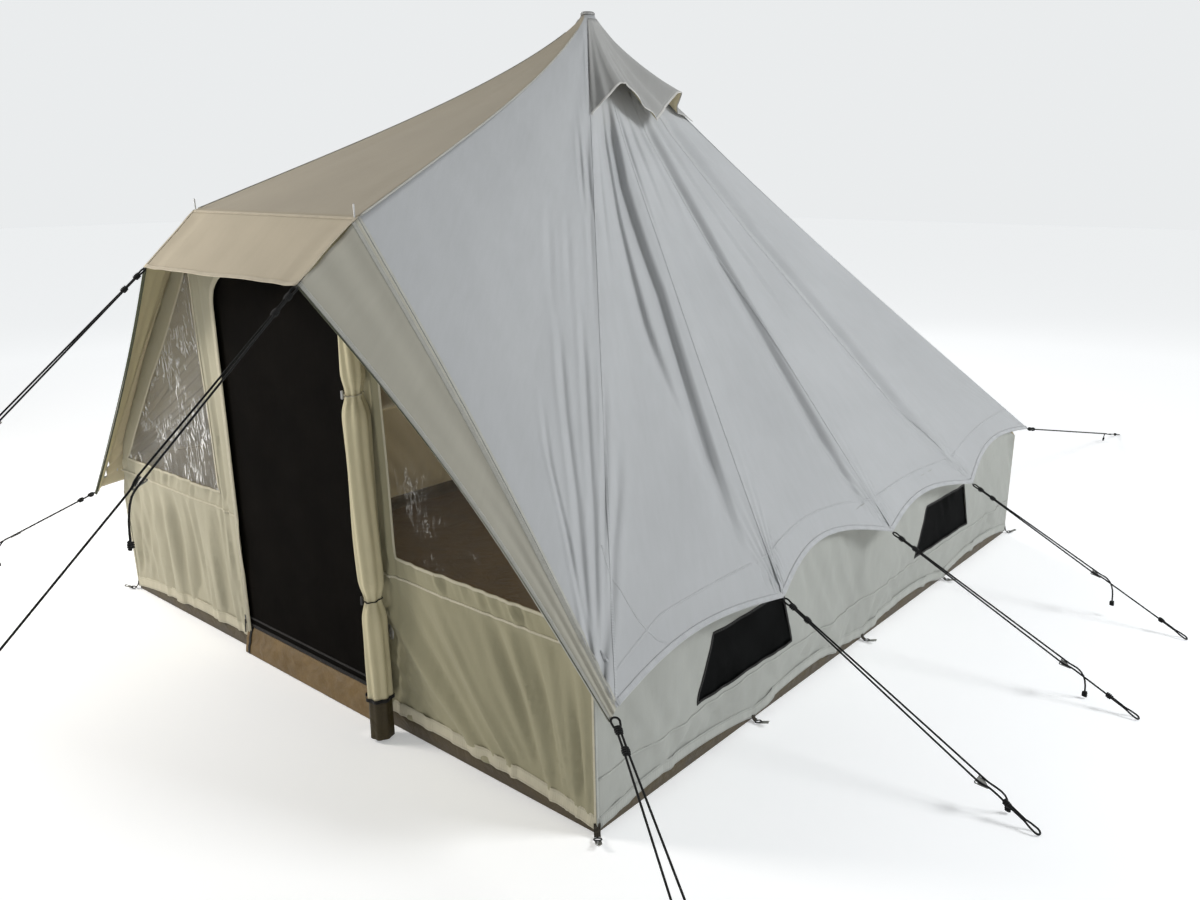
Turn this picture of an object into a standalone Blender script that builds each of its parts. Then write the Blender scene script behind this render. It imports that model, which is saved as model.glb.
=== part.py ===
"""Tipi tent: low side walls, a front wall under a visor, poles, a mesh door and storm guys.

The tent faces -Y, its right side is +X, and the origin is the middle of its floor, on the ground.
"""
import math

import bmesh
import bpy
from mathutils import Matrix, Vector

# Floor and walls
FLOOR_HALF_WIDTH = 1.55
FLOOR_LENGTH = 3.72
BAY_COUNT = 4
FLOOR_SHEET = 0.003
TUB_HEIGHT = 0.09
WALL_CLOTH = 0.003
WALL_LIFT = 0.03
FRONT_LEAN = 0.030

# Roof skin
ROOF_CLOTH = 0.003
APEX_BACK = 1.747
APEX_HEIGHT = 2.780
APEX_RADIUS = 0.030
ROOF_SAG = 0.080
PANEL_DIP = 0.020
RIDGE_HALF = 0.535
RIDGE_HEIGHT = 1.918
RIDGE_FORWARD = 0.036
SEAM_BULGE = 0.035
EAVE_HEIGHT = 0.550
EAVE_REACH = 0.110
CORNER_HEIGHT = 0.537
CORNER_REACH = 0.132
CORNER_FORWARD = 0.066
TIP_HEIGHT = 0.597
TIP_BACK = 0.220
SCALLOP_DEPTHS = (0.045, 0.085, 0.055, 0.060)
BACK_SCALLOP = 0.060

# Visor and its side strips
VISOR_HALF = 0.509
VISOR_REACH = 0.234
VISOR_DROP = 0.207
STRIP_SCALLOP = 0.045
STRIP_TIP = 0.030
WALL_SHARE = 0.93

# Vent hood round the apex
HOOD_CLOTH = 0.002
HOOD_REACH = 0.165
HOOD_LIFT = 0.120
HOOD_START = 0.030
HOOD_CLEAR = 0.0014
HOOD_SLANT = 37.0
HOOD_CURVE = 1.5

# Door, windows and vents
DOOR_HALF = 0.490
DOOR_DROP = 0.218
DOOR_BOTTOM = 0.124
DOOR_CORNER = 0.160
DOOR_MESH = 0.002
SILL_HEIGHT = 0.118
SILL_FORWARD = 0.060
WINDOW_JAMB = 0.120
WINDOW_BOTTOM = 0.726
WINDOW_EDGE = 0.085
FILM = 0.001
FILM_OVERLAP = 0.015
VENT_BOTTOM = 0.240
VENT_TOP = 0.475
VENT_BOTTOM_HALF = 0.330
VENT_TOP_HALF = 0.235
VENT_FORWARD = 0.050
ZIP_WIDTH = 0.012
ZIP_THICK = 0.0015
SLIDER_WIDTH = 0.012
SLIDER_THICK = 0.006
SLIDER_LENGTH = 0.040
SLIDER_BODY = 0.012
SLIDER_TAPER = 0.0036
SLIDER_START = 0.170

# Rolled outer door
ROLL_RADIUS = 0.050
ROLL_OFFSET = 0.004
ROLL_DROP = 0.060
ROLL_BOTTOM = 0.165
ROLL_EDGE = 0.010
ROLL_END_BOTTOM = 0.012
ROLL_END_RADIUS = 0.046
ROLL_FOLDS = 8
FOLD_DEPTH = 0.007
TIE_UPPER = 1.330
TIE_LOWER = 0.560
TIE_WIDTH = 0.014
TIE_THICK = 0.003
TIE_WAIST = 0.008
TIE_SPREAD = 0.042
TOGGLE_HEADING = 252.5
TOGGLE_LENGTH = 0.040
TOGGLE_RADIUS = 0.005

# Poles
POLE_INSET = 0.016
FRONT_POLE_BACK = 0.030
FRONT_POLE_RADIUS = 0.0125
FRONT_POLE_JOINT = 1.000
CENTRE_POLE_RADIUS = 0.016
CENTRE_POLE_JOINT = 1.400
TUBE_WALL = 0.0020
SPIGOT_LENGTH = 0.060
SPIGOT_CLEAR = 0.004
SPIKE_RADIUS = 0.003
SPIKE_RISE = 0.046
SPIKE_HOLE = 0.0045
SHOULDER_DROP = 0.016
FRONT_FOOT_RADIUS = 0.017
FRONT_FOOT_HEIGHT = 0.018
CENTRE_FOOT_RADIUS = 0.050
CENTRE_FOOT_HEIGHT = 0.012
CENTRE_FOOT_RIM = 0.006
CENTRE_FOOT_SEAT = 0.021
CENTRE_SPIKE = 0.006
CAP_RADIUS = 0.034
CAP_HEIGHT = 0.014
CAP_RIM = 0.008
CAP_CROWN = 0.027
CAP_PLUG = 0.0075

# Peg tabs
TAB_WIDTH = 0.030
TAB_LENGTH = 0.045
TAB_THICK = 0.003
TAB_LIFT = 0.006

# Guy lines: each peg's place beyond the front or the back, or out from its station, and where the
# runner sits as a share of the line
VISOR_PEG = (0.610, -2.272)
VISOR_SHARE = 0.300
CORNER_PEG = (2.545, -0.595)
CORNER_SHARE = 0.520
EAVE_PEGS = ((2.638, 0.000), (2.700, 0.060), (2.690, 0.040))
EAVE_SHARES = (0.800, 0.725, 0.600)
REAR_PEG = (1.440, 2.960)
REAR_SHARE = 0.860
CORD_RADIUS = 0.0035
STRAND_HALF = 0.018
TURN_RADIUS = 0.014
EYE_LENGTH = 0.130
EYE_CLOSE = 0.0045
EYE_OPENING = 0.060
VISOR_SEAT = 0.0047
CORNER_SEAT = 0.0090
EAVE_SEAT = 0.0038
TIP_SEAT = 0.0039
KNOT_NEAR = 0.045
KNOT_FAR = 0.115
STRAND_CLOSE = 0.0055
TAIL_LENGTH = 0.085
TAIL_ASIDE = 0.030
TAIL_DROP = 0.110
TAIL_CLEAR = 0.020
MERGE_LENGTH = 0.042
RUNNER_LENGTH = 0.052
RUNNER_UPPER = 0.021
RUNNER_HALF = 0.034
RUNNER_THICK = 0.003
RUNNER_HOLE = 0.0055
RUNNER_HOLE_INSET = 0.010
RUNNER_ROUND = 0.005

# Clearances
GAP = 0.0004
EDGE_CLEAR = 0.0020
DOOR_CLEAR = 0.0020

# Facets
ROOF_ROWS = 7
VISOR_ROWS = 3
STRIP_ROWS = 10
STRIP_COLUMNS = 3
ARC_STEPS = 6
WINDOW_STEPS = (2, 8)
HOOD_ROWS = 5
SEAM_COLUMNS = 6
BAY_COLUMNS = 5
BACK_COLUMNS = 12
WALL_STEPS = 30
RIDGE_COLUMNS = 6
ROUND_SIDES = 16
FOLD_SIDES = 4
SMALL_SIDES = 10

FRONT_Y = -FLOOR_LENGTH / 2
BACK_Y = FLOOR_LENGTH / 2
APEX_Y = FRONT_Y + APEX_BACK
RIDGE_Y = FRONT_Y - RIDGE_FORWARD
DOOR_TOP = RIDGE_HEIGHT - DOOR_DROP
WINDOW_INNER = DOOR_HALF + WINDOW_JAMB
ROLL_CENTRE = DOOR_HALF + ROLL_OFFSET
ROLL_TOP = DOOR_TOP - ROLL_DROP


def clear_scene():
    for thing in list(bpy.data.objects):
        bpy.data.objects.remove(thing, do_unlink=True)


def material(name, colour, roughness, metallic=0.0, alpha=1.0):
    found = bpy.data.materials.get(name)
    if found:
        return found
    made = bpy.data.materials.new(name)
    made.use_nodes = True
    shader = made.node_tree.nodes["Principled BSDF"]
    shader.inputs["Base Color"].default_value = (*colour, 1.0)
    shader.inputs["Roughness"].default_value = roughness
    shader.inputs["Metallic"].default_value = metallic
    shader.inputs["Alpha"].default_value = alpha
    made.diffuse_color = (*colour, alpha)
    return made


def side_canvas():
    return material("side_canvas", (0.46, 0.49, 0.50), 0.85)


def front_canvas():
    return material("front_canvas", (0.45, 0.39, 0.30), 0.85)


def wall_canvas():
    return material("wall_canvas", (0.40, 0.43, 0.40), 0.85)


def panel_canvas():
    return material("panel_canvas", (0.42, 0.39, 0.29), 0.85)


def floor_vinyl():
    return material("floor_vinyl", (0.15, 0.10, 0.05), 0.6)


def black_mesh():
    return material("black_mesh", (0.010, 0.009, 0.008), 0.9)


def clear_film():
    return material("clear_film", (0.80, 0.80, 0.78), 0.08, alpha=0.35)


def steel():
    return material("steel", (0.45, 0.45, 0.43), 0.35, metallic=1.0)


def black_plastic():
    return material("black_plastic", (0.012, 0.012, 0.012), 0.45)


def black_cord():
    return material("black_cord", (0.006, 0.006, 0.006), 0.8)


def mesh_object(name, points, faces, look, smooth=False):
    mesh = bpy.data.meshes.new(name)
    mesh.from_pydata([tuple(p) for p in points], [], faces)
    mesh.validate()
    mesh.materials.append(look)
    made = bpy.data.objects.new(name, mesh)
    bpy.context.collection.objects.link(made)
    tidy_normals(mesh)
    if smooth:
        mesh.shade_smooth()
        mesh.set_sharp_from_angle(angle=math.radians(40))
    return made


def tidy_normals(mesh):
    work = bmesh.new()
    work.from_mesh(mesh)
    bmesh.ops.recalc_face_normals(work, faces=work.faces)
    work.to_mesh(mesh)
    work.free()


def move_origin(made, place):
    """Put the object's origin at place and leave its surface where it is."""
    made.data.transform(Matrix.Translation(-Vector(place)))
    made.location = place
    return made


# Skin of the tent: every roof panel is a fan of lines from the apex to a point on its edge
def ridge_end(side):
    return Vector((side * RIDGE_HALF, RIDGE_Y, RIDGE_HEIGHT))


def guy_point(side, station):
    """Where the guy line of this station pulls on the eave."""
    bay = FLOOR_LENGTH / BAY_COUNT
    if station == 0:
        x = FLOOR_HALF_WIDTH + CORNER_REACH
        return Vector((side * x, FRONT_Y - CORNER_FORWARD, CORNER_HEIGHT))
    if station == BAY_COUNT:
        return Vector((side * FLOOR_HALF_WIDTH, BACK_Y + TIP_BACK, TIP_HEIGHT))
    x = FLOOR_HALF_WIDTH + EAVE_REACH
    return Vector((side * x, FRONT_Y + bay * station, EAVE_HEIGHT))


def seam_point(side, share):
    """On the seam from the ridge end, at 0, down to the front corner's guy point, at 1."""
    place = ridge_end(side).lerp(guy_point(side, 0), share)
    place.x += side * SEAM_BULGE * math.sin(math.pi * share)
    return place


def eave_point(side, along):
    """On the eave, where along counts the stations, with the cloth drawn in between them."""
    station = min(int(along), BAY_COUNT - 1)
    part = along - station
    place = guy_point(side, station).lerp(guy_point(side, station + 1), part)
    depth = SCALLOP_DEPTHS[station % len(SCALLOP_DEPTHS)] * math.sin(math.pi * part)
    place.x -= side * depth
    place.z += depth
    return place


def back_point(share):
    """On the back eave, from the right corner, at 0, to the left one, at 1."""
    place = guy_point(1, BAY_COUNT).lerp(guy_point(-1, BAY_COUNT), share)
    depth = BACK_SCALLOP * math.sin(math.pi * share)
    place.y -= 2 * depth
    place.z += depth
    return place


def fan_point(base, reach, dip=0.0):
    """On the line from the apex, at 0, to base, at 1; it hangs a little under a straight line."""
    outward = Vector((base.x, base.y - APEX_Y, 0)).normalized()
    top = Vector((0, APEX_Y, APEX_HEIGHT)) + outward * APEX_RADIUS
    place = top.lerp(base, reach)
    place.z -= ROOF_SAG * math.sin(math.pi * reach**0.6)
    place.z -= PANEL_DIP * dip * math.sin(math.pi * reach)
    return place


def side_columns(side):
    """Base points of the side panel's fan, each with how far it lies between two seams."""
    columns = [(seam_point(side, i / SEAM_COLUMNS), 0.0) for i in range(SEAM_COLUMNS)]
    steps = BAY_COUNT * BAY_COLUMNS
    for i in range(steps + 1):
        along = i / BAY_COLUMNS
        columns.append((eave_point(side, along), math.sin(math.pi * along) ** 2))
    return columns


def back_columns():
    shares = [i / BACK_COLUMNS for i in range(BACK_COLUMNS + 1)]
    return [(back_point(s), math.sin(math.pi * s)) for s in shares]


def front_columns():
    xs = [-RIDGE_HALF + 2 * RIDGE_HALF * i / RIDGE_COLUMNS for i in range(RIDGE_COLUMNS + 1)]
    return [(Vector((x, RIDGE_Y, RIDGE_HEIGHT)), 0.0) for x in xs]


def fan_rows(columns, reaches):
    return [[fan_point(base, reach, dip) for base, dip in columns] for reach in reaches]


def hood_reaches():
    return [HOOD_START + (HOOD_REACH - HOOD_START) * i / HOOD_ROWS for i in range(HOOD_ROWS + 1)]


def roof_reaches():
    """Rows of the roof: the hood's own rows under it, then steps down to the edge."""
    below = [HOOD_REACH + (1 - HOOD_REACH) * i / ROOF_ROWS for i in range(1, ROOF_ROWS + 1)]
    return [0.0] + hood_reaches() + below


def grid_normals(rows):
    """One unit normal for each grid point, from its neighbours."""
    last_row, last_column = len(rows) - 1, len(rows[0]) - 1
    normals = []
    for i, row in enumerate(rows):
        line = []
        for j in range(len(row)):
            across = row[min(j + 1, last_column)] - row[max(j - 1, 0)]
            down = rows[min(i + 1, last_row)][j] - rows[max(i - 1, 0)][j]
            line.append(across.cross(down).normalized())
        normals.append(line)
    return normals


def pull_in(rows):
    """Draw the grid's outer lines in by the gap that neighbouring panels keep."""
    for row in rows:
        row[0] = row[0] + (row[1] - row[0]).normalized() * GAP
        row[-1] = row[-1] + (row[-2] - row[-1]).normalized() * GAP
    rows[0] = [a + (b - a).normalized() * GAP for a, b in zip(rows[0], rows[1])]
    rows[-1] = [a + (b - a).normalized() * GAP for a, b in zip(rows[-1], rows[-2])]
    return rows


def grid_shell(name, rows, thickness, look, outward):
    """A closed shell on a grid of points: its inner face is the grid, its outer face lies off it."""
    rows = pull_in([list(row) for row in rows])
    normals = grid_normals(rows)
    middle = normals[len(rows) // 2][len(rows[0]) // 2]
    flip = 1 if middle.dot(Vector(outward)) > 0 else -1
    width = len(rows[0])
    inner = [p for row in rows for p in row]
    outer = [p + n * flip * thickness for p, n in zip(inner, [n for row in normals for n in row])]
    count = len(inner)
    faces = []
    for i in range(len(rows) - 1):
        for j in range(width - 1):
            a = i * width + j
            quad = (a, a + 1, a + width + 1, a + width)
            faces.append(quad)
            faces.append(tuple(k + count for k in reversed(quad)))
    rim = list(range(width))
    rim += [i * width + width - 1 for i in range(1, len(rows))]
    rim += [(len(rows) - 1) * width + j for j in range(width - 2, -1, -1)]
    rim += [i * width for i in range(len(rows) - 2, 0, -1)]
    for a, b in zip(rim, rim[1:] + rim[:1]):
        faces.append((b, a, a + count, b + count))
    return mesh_object(name, inner + outer, faces, look, smooth=True)


def plate(name, loops, place, depth, look):
    """A flat piece with holes: loops of 2D points, put in space by place(a, b, depth)."""
    work = bmesh.new()
    for loop in loops:
        corners = [work.verts.new(place(a, b, 0.0)) for a, b in loop]
        for one, other in zip(corners, corners[1:] + corners[:1]):
            work.edges.new((one, other))
    bmesh.ops.triangle_fill(work, use_beauty=True, use_dissolve=False, edges=list(work.edges))
    pushed = bmesh.ops.extrude_face_region(work, geom=list(work.faces))
    shift = place(0.0, 0.0, depth) - place(0.0, 0.0, 0.0)
    moved = [v for v in pushed["geom"] if isinstance(v, bmesh.types.BMVert)]
    bmesh.ops.translate(work, vec=shift, verts=moved)
    bmesh.ops.recalc_face_normals(work, faces=work.faces)
    mesh = bpy.data.meshes.new(name)
    work.to_mesh(mesh)
    work.free()
    mesh.materials.append(look)
    made = bpy.data.objects.new(name, mesh)
    bpy.context.collection.objects.link(made)
    return made


def frame_for(axis):
    """Two unit vectors square to axis."""
    axis = Vector(axis).normalized()
    aside = axis.cross(Vector((0, 1, 0)))
    if aside.length < 0.1:
        aside = axis.cross(Vector((1, 0, 0)))
    aside.normalize()
    return aside, axis.cross(aside).normalized()


def turned(name, profile, base, axis, look, sides=ROUND_SIDES, folds=0):
    """A turned piece: the profile's points are (radius, height), from one pole of it to the other.

    Cloth has folds, which run along the axis and sink in between even crests.
    """
    base, axis = Vector(base), Vector(axis).normalized()
    aside, ahead = frame_for(axis)
    points, rings = [], []
    for radius, height in profile:
        if radius == 0:
            rings.append([len(points)])
            points.append(base + axis * height)
            continue
        rings.append(list(range(len(points), len(points) + sides)))
        for i in range(sides):
            angle = 2 * math.pi * i / sides
            spoke = aside * math.cos(angle) + ahead * math.sin(angle)
            sunk = FOLD_DEPTH * (1 - math.cos(folds * angle)) / 2
            points.append(base + axis * height + spoke * (radius - sunk))
    faces = []
    for lower, upper in zip(rings, rings[1:]):
        for i in range(sides):
            j = (i + 1) % sides
            below = (lower[i % len(lower)], lower[j % len(lower)])
            above = (upper[j % len(upper)], upper[i % len(upper)])
            faces.append(tuple(dict.fromkeys(below + above)))
    return mesh_object(name, points, faces, look, smooth=True)


def hide_tool(made):
    made.hide_render = True
    made.display_type = "WIRE"
    return made


def combine(made, tool, operation):
    change = made.modifiers.new(tool.name, "BOOLEAN")
    change.operation = operation
    change.object = tool
    change.solver = "EXACT"


# Fabric
def make_roof():
    """Four panels that meet at the seams; the front one is handed on for its pole holes."""
    reaches = roof_reaches()
    sheets = (("roof_right", side_columns(1), side_canvas(), (1, 0, 1)),
              ("roof_left", side_columns(-1), side_canvas(), (-1, 0, 1)),
              ("roof_back", back_columns(), side_canvas(), (0, 1, 1)),
              ("roof_front", front_columns(), front_canvas(), (0, -1, 1)))
    made = [grid_shell(name, fan_rows(columns, reaches), ROOF_CLOTH, look, outward)
            for name, columns, look, outward in sheets]
    return made[-1]


def visor_point(across, down):
    """On the visor: across runs from -1 to 1, down from the ridge, at 0, to its front edge, at 1."""
    half = RIDGE_HALF + (VISOR_HALF - RIDGE_HALF) * down
    y = RIDGE_Y - VISOR_REACH * down
    return Vector((across * half, y, RIDGE_HEIGHT - VISOR_DROP * down))


def strip_tip(side):
    return guy_point(side, 0) + Vector((0, -STRIP_TIP, -STRIP_TIP))


def strip_edge(side, share):
    """On the front edge of a side strip, from the visor's corner down to its tip."""
    place = visor_point(side, 1).lerp(strip_tip(side), share)
    inward = (seam_point(side, share) - place).normalized()
    return place + inward * STRIP_SCALLOP * math.sin(math.pi * share)


def make_visor():
    rows = []
    shares = [-1 + 2 * j / RIDGE_COLUMNS for j in range(RIDGE_COLUMNS + 1)]
    for i in range(VISOR_ROWS + 1):
        rows.append([visor_point(share, i / VISOR_ROWS) for share in shares])
    visor = grid_shell("visor", rows, ROOF_CLOTH, front_canvas(), (0, -1, 1))
    for side, name in ((1, "strip_right"), (-1, "strip_left")):
        rows = []
        for i in range(STRIP_ROWS + 1):
            share = i / STRIP_ROWS
            seam, edge = seam_point(side, share), strip_edge(side, share)
            rows.append([seam.lerp(edge, j / STRIP_COLUMNS) for j in range(STRIP_COLUMNS + 1)])
        grid_shell(name, rows, ROOF_CLOTH, front_canvas(), (side, -1, 1))
    return visor


def make_hood():
    """The vent hood lies on the roof at its tips and stands off it in arches between them."""
    side = side_columns(1)[SEAM_COLUMNS:]
    alongs = [i / BAY_COLUMNS for i in range(len(side))]
    back = back_columns()[1:-1]
    behind = [BAY_COUNT + 2 * (i + 1) / BACK_COLUMNS for i in range(len(back))]
    left = side_columns(-1)[SEAM_COLUMNS:]
    columns = side + back + left[::-1]
    arches = [math.sin(math.pi * along / 2) ** 2 for along in alongs + behind + alongs[::-1]]
    rows = []
    for reach in hood_reaches():
        down = (reach - HOOD_START) / (HOOD_REACH - HOOD_START)
        row = []
        for (base, dip), arch in zip(columns, arches):
            slant = math.radians(HOOD_SLANT)
            outward = Vector((base.x, base.y - APEX_Y, 0)).normalized() * math.cos(slant)
            outward.z = math.sin(slant)
            rise = ROOF_CLOTH + HOOD_CLEAR + HOOD_LIFT * arch * down**HOOD_CURVE
            row.append(fan_point(base, reach, dip) + outward * rise)
        rows.append(row)
    return grid_shell("vent_hood", rows, HOOD_CLOTH, side_canvas(), (0, 1, 1))


def front_place(x, z, depth):
    """In the front wall's leaning plane; depth runs inward from its outer face."""
    return Vector((x, FRONT_Y - FRONT_LEAN * z + depth, z))


def skin_at_wall(side, share):
    """Where the front wall's outer face meets the skin above it, near this share of the seam."""
    seam = seam_point(side, share)
    wall = FRONT_Y - FRONT_LEAN * seam.z
    if wall >= seam.y:
        top_y = fan_point(seam, 0.0).y
        return fan_point(seam, (wall - top_y) / (seam.y - top_y))
    edge = strip_edge(side, share)
    return seam.lerp(edge, (seam.y - wall) / (seam.y - edge.y))


def arc(centre, radius, start, end, steps):
    """Points on a round stretch, with its angles in degrees."""
    points = []
    for i in range(steps + 1):
        angle = math.radians(start + (end - start) * i / steps)
        points.append((centre[0] + radius * math.cos(angle), centre[1] + radius * math.sin(angle)))
    return points


def door_outline(grow, bottom):
    """The right half of the door's outline from its top middle down, grown by that much."""
    radius = DOOR_CORNER + grow
    centre = (DOOR_HALF - DOOR_CORNER, DOOR_TOP - DOOR_CORNER)
    corner = arc(centre, radius, 90, 0, ARC_STEPS)
    return [(GAP, DOOR_TOP + grow)] + corner + [(DOOR_HALF + grow, bottom)]


def slanted_edge(side):
    """The front wall's edge under the strip and the roof, from the ridge outward."""
    points = []
    for i in range(STRIP_ROWS + 1):
        place = skin_at_wall(side, WALL_SHARE * i / STRIP_ROWS)
        points.append((abs(place.x) - EDGE_CLEAR, place.z - EDGE_CLEAR))
    return points


def window_outline(grow):
    """The triangular window, with its slope along the wall's slanted edge."""
    top_edge, bottom_edge = [slanted_edge(1)[step] for step in WINDOW_STEPS]
    run, drop = bottom_edge[0] - top_edge[0], top_edge[1] - bottom_edge[1]
    slope = drop / run
    length = math.hypot(run, drop)
    offset = (WINDOW_EDGE - grow) * length / run
    inner, low = WINDOW_INNER - grow, WINDOW_BOTTOM - grow
    high = top_edge[1] - slope * (inner - top_edge[0]) - offset
    far = inner + (high - low) / slope
    return [(inner, low), (far, low), (inner, high)]


def make_front_walls():
    corner = FLOOR_HALF_WIDTH - GAP
    edge = slanted_edge(1)
    edge = [p for p in edge if p[0] < corner]
    top = edge[0][1]
    outline = [(GAP, top)] + edge + [(corner, roof_height(corner, FRONT_Y) - 3 * EDGE_CLEAR)]
    outline += [(corner, WALL_LIFT)] + door_outline(0, WALL_LIFT)[::-1]
    for side, end in ((1, "right"), (-1, "left")):
        def place(a, b, depth, side=side):
            return front_place(side * a, b, depth)

        def behind(a, b, depth, side=side):
            return front_place(side * a, b, WALL_CLOTH + GAP + depth)

        plate("front_wall_" + end, [outline, window_outline(0)], place, WALL_CLOTH, panel_canvas())
        plate("window_" + end, [window_outline(FILM_OVERLAP)], behind, FILM, clear_film())


def roof_height(x, y):
    """Height of the roof's inner face over a point of the plan beside or behind the apex."""
    heading = math.atan2(y - APEX_Y, abs(x))
    far = math.hypot(x, y - APEX_Y)
    columns = side_columns(1) + back_columns()[1:]
    for (one, one_dip), (other, other_dip) in zip(columns, columns[1:]):
        start = math.atan2(one.y - APEX_Y, one.x)
        end = math.atan2(other.y - APEX_Y, other.x)
        if start <= heading <= end:
            part = (heading - start) / (end - start)
            base = one.lerp(other, part)
            dip = one_dip + (other_dip - one_dip) * part
            reach = (far - APEX_RADIUS) / (math.hypot(base.x, base.y - APEX_Y) - APEX_RADIUS)
            return fan_point(base, reach, dip).z
    return fan_point(columns[0][0], 1.0).z


def wall_top(low, high, place):
    """The top edge of a wall under the roof, from low to high; place turns a step into (x, y)."""
    steps = [low + (high - low) * i / WALL_STEPS for i in range(WALL_STEPS + 1)]
    return [(step, roof_height(*place(step)) - 2 * EDGE_CLEAR) for step in steps]


def vent_centres():
    bay = FLOOR_LENGTH / BAY_COUNT
    return (FRONT_Y + bay - VENT_FORWARD, FRONT_Y + (BAY_COUNT - 1) * bay - VENT_FORWARD)


def vent_outline(centre, grow):
    low, high = VENT_BOTTOM - grow, VENT_TOP + grow
    bottom, top = VENT_BOTTOM_HALF + grow, VENT_TOP_HALF + grow
    return [(centre - bottom, low), (centre + bottom, low), (centre + top, high), (centre - top, high)]


def make_side_walls():
    low = FRONT_Y + WALL_CLOTH + 2 * GAP
    high = BACK_Y - GAP
    for side, end in ((1, "right"), (-1, "left")):
        def place(a, b, depth, side=side):
            return Vector((side * (FLOOR_HALF_WIDTH - depth), a, b))

        def behind(a, b, depth, side=side):
            return Vector((side * (FLOOR_HALF_WIDTH - WALL_CLOTH - GAP - depth), a, b))

        top = wall_top(low, high, lambda y: (FLOOR_HALF_WIDTH, y))
        outline = [(low, WALL_LIFT)] + top + [(high, WALL_LIFT)]
        holes = [vent_outline(centre, 0) for centre in vent_centres()]
        plate("side_wall_" + end, [outline] + holes, place, WALL_CLOTH, wall_canvas())
        for centre, where in zip(vent_centres(), ("front", "rear")):
            outline = vent_outline(centre, FILM_OVERLAP)
            plate("vent_" + end + "_" + where, [outline], behind, FILM, black_mesh())


def make_back_wall():
    half = FLOOR_HALF_WIDTH - WALL_CLOTH - 2 * GAP
    top = wall_top(-half, half, lambda x: (x, BACK_Y))
    outline = [(-half, WALL_LIFT)] + top + [(half, WALL_LIFT)]

    def place(a, b, depth):
        return Vector((-a, BACK_Y - depth, b))

    plate("back_wall", [outline], place, WALL_CLOTH, wall_canvas())


def groundsheet_front():
    """The front of the tub's rim, just inside the foot of the front wall."""
    return front_place(0, WALL_LIFT, WALL_CLOTH + GAP).y


def make_groundsheet():
    """A tub of floor sheet with its rim inside the walls and a tab at each peg point."""
    half = FLOOR_HALF_WIDTH - WALL_CLOTH - GAP
    front, back = groundsheet_front(), BACK_Y - WALL_CLOTH - GAP
    outer = [(-half, front), (half, front), (half, back), (-half, back)]
    wall = FLOOR_SHEET
    inner = [(-half + wall, front + wall), (half - wall, front + wall)]
    inner += [(half - wall, back - wall), (-half + wall, back - wall)]
    levels = [(outer, 0.0), (outer, TUB_HEIGHT), (inner, TUB_HEIGHT), (inner, FLOOR_SHEET)]
    points = [(x, y, z) for ring, z in levels for x, y in ring]
    faces = [(3, 2, 1, 0), (12, 13, 14, 15)]
    for level in range(3):
        for i in range(4):
            j = (i + 1) % 4
            a = level * 4
            faces.append((a + i, a + j, a + 4 + j, a + 4 + i))
    sheet = mesh_object("groundsheet", points, faces, floor_vinyl())
    corners, sides = [], []
    for side in (-1, 1):
        for station in range(BAY_COUNT + 1):
            tab_box(side, station, half, corners, sides)
    tabs = hide_tool(mesh_object("peg_tabs", corners, sides, black_plastic()))
    combine(sheet, tabs, "UNION")
    return sheet


def tab_box(side, station, half, corners, faces):
    """Add one peg tab, which runs out of the rim from inside its thickness."""
    bay = FLOOR_LENGTH / BAY_COUNT
    y = FRONT_Y + bay * station
    if station == 0:
        y += WALL_CLOTH + GAP + TAB_WIDTH / 2 + FLOOR_SHEET
    if station == BAY_COUNT:
        y -= WALL_CLOTH + GAP + TAB_WIDTH / 2 + FLOOR_SHEET
    near, far = half - FLOOR_SHEET / 2, half + TAB_LENGTH
    first = len(corners)
    for x in (near, far):
        for offset in (-TAB_WIDTH / 2, TAB_WIDTH / 2):
            for z in (TAB_LIFT, TAB_LIFT + TAB_THICK):
                corners.append((side * x, y + offset, z))
    for face in [(0, 1, 3, 2), (4, 6, 7, 5), (0, 4, 5, 1), (2, 3, 7, 6), (0, 2, 6, 4), (1, 5, 7, 3)]:
        faces.append(tuple(first + k for k in face))


def make_sill():
    """The sloped band of floor sheet in front of the door."""
    left, right = EDGE_CLEAR - DOOR_HALF, ROLL_CENTRE - ROLL_RADIUS - EDGE_CLEAR
    top = FRONT_Y - FRONT_LEAN * SILL_HEIGHT
    foot = FRONT_Y - SILL_FORWARD
    heel = groundsheet_front() - GAP
    profile = [(top, SILL_HEIGHT), (top + WALL_CLOTH, SILL_HEIGHT), (heel, GAP), (foot, GAP)]
    points = [(x, y, z) for x in (left, right) for y, z in profile]
    faces = [(0, 1, 2, 3), (7, 6, 5, 4)]
    for i in range(4):
        j = (i + 1) % 4
        faces.append((i, i + 4, j + 4, j))
    return mesh_object("door_sill", points, faces, floor_vinyl())


# Door
def hinge_point():
    """The door turns about its right edge, on the inner face of the wall."""
    return front_place(DOOR_HALF - GAP, DOOR_BOTTOM, WALL_CLOTH)


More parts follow.
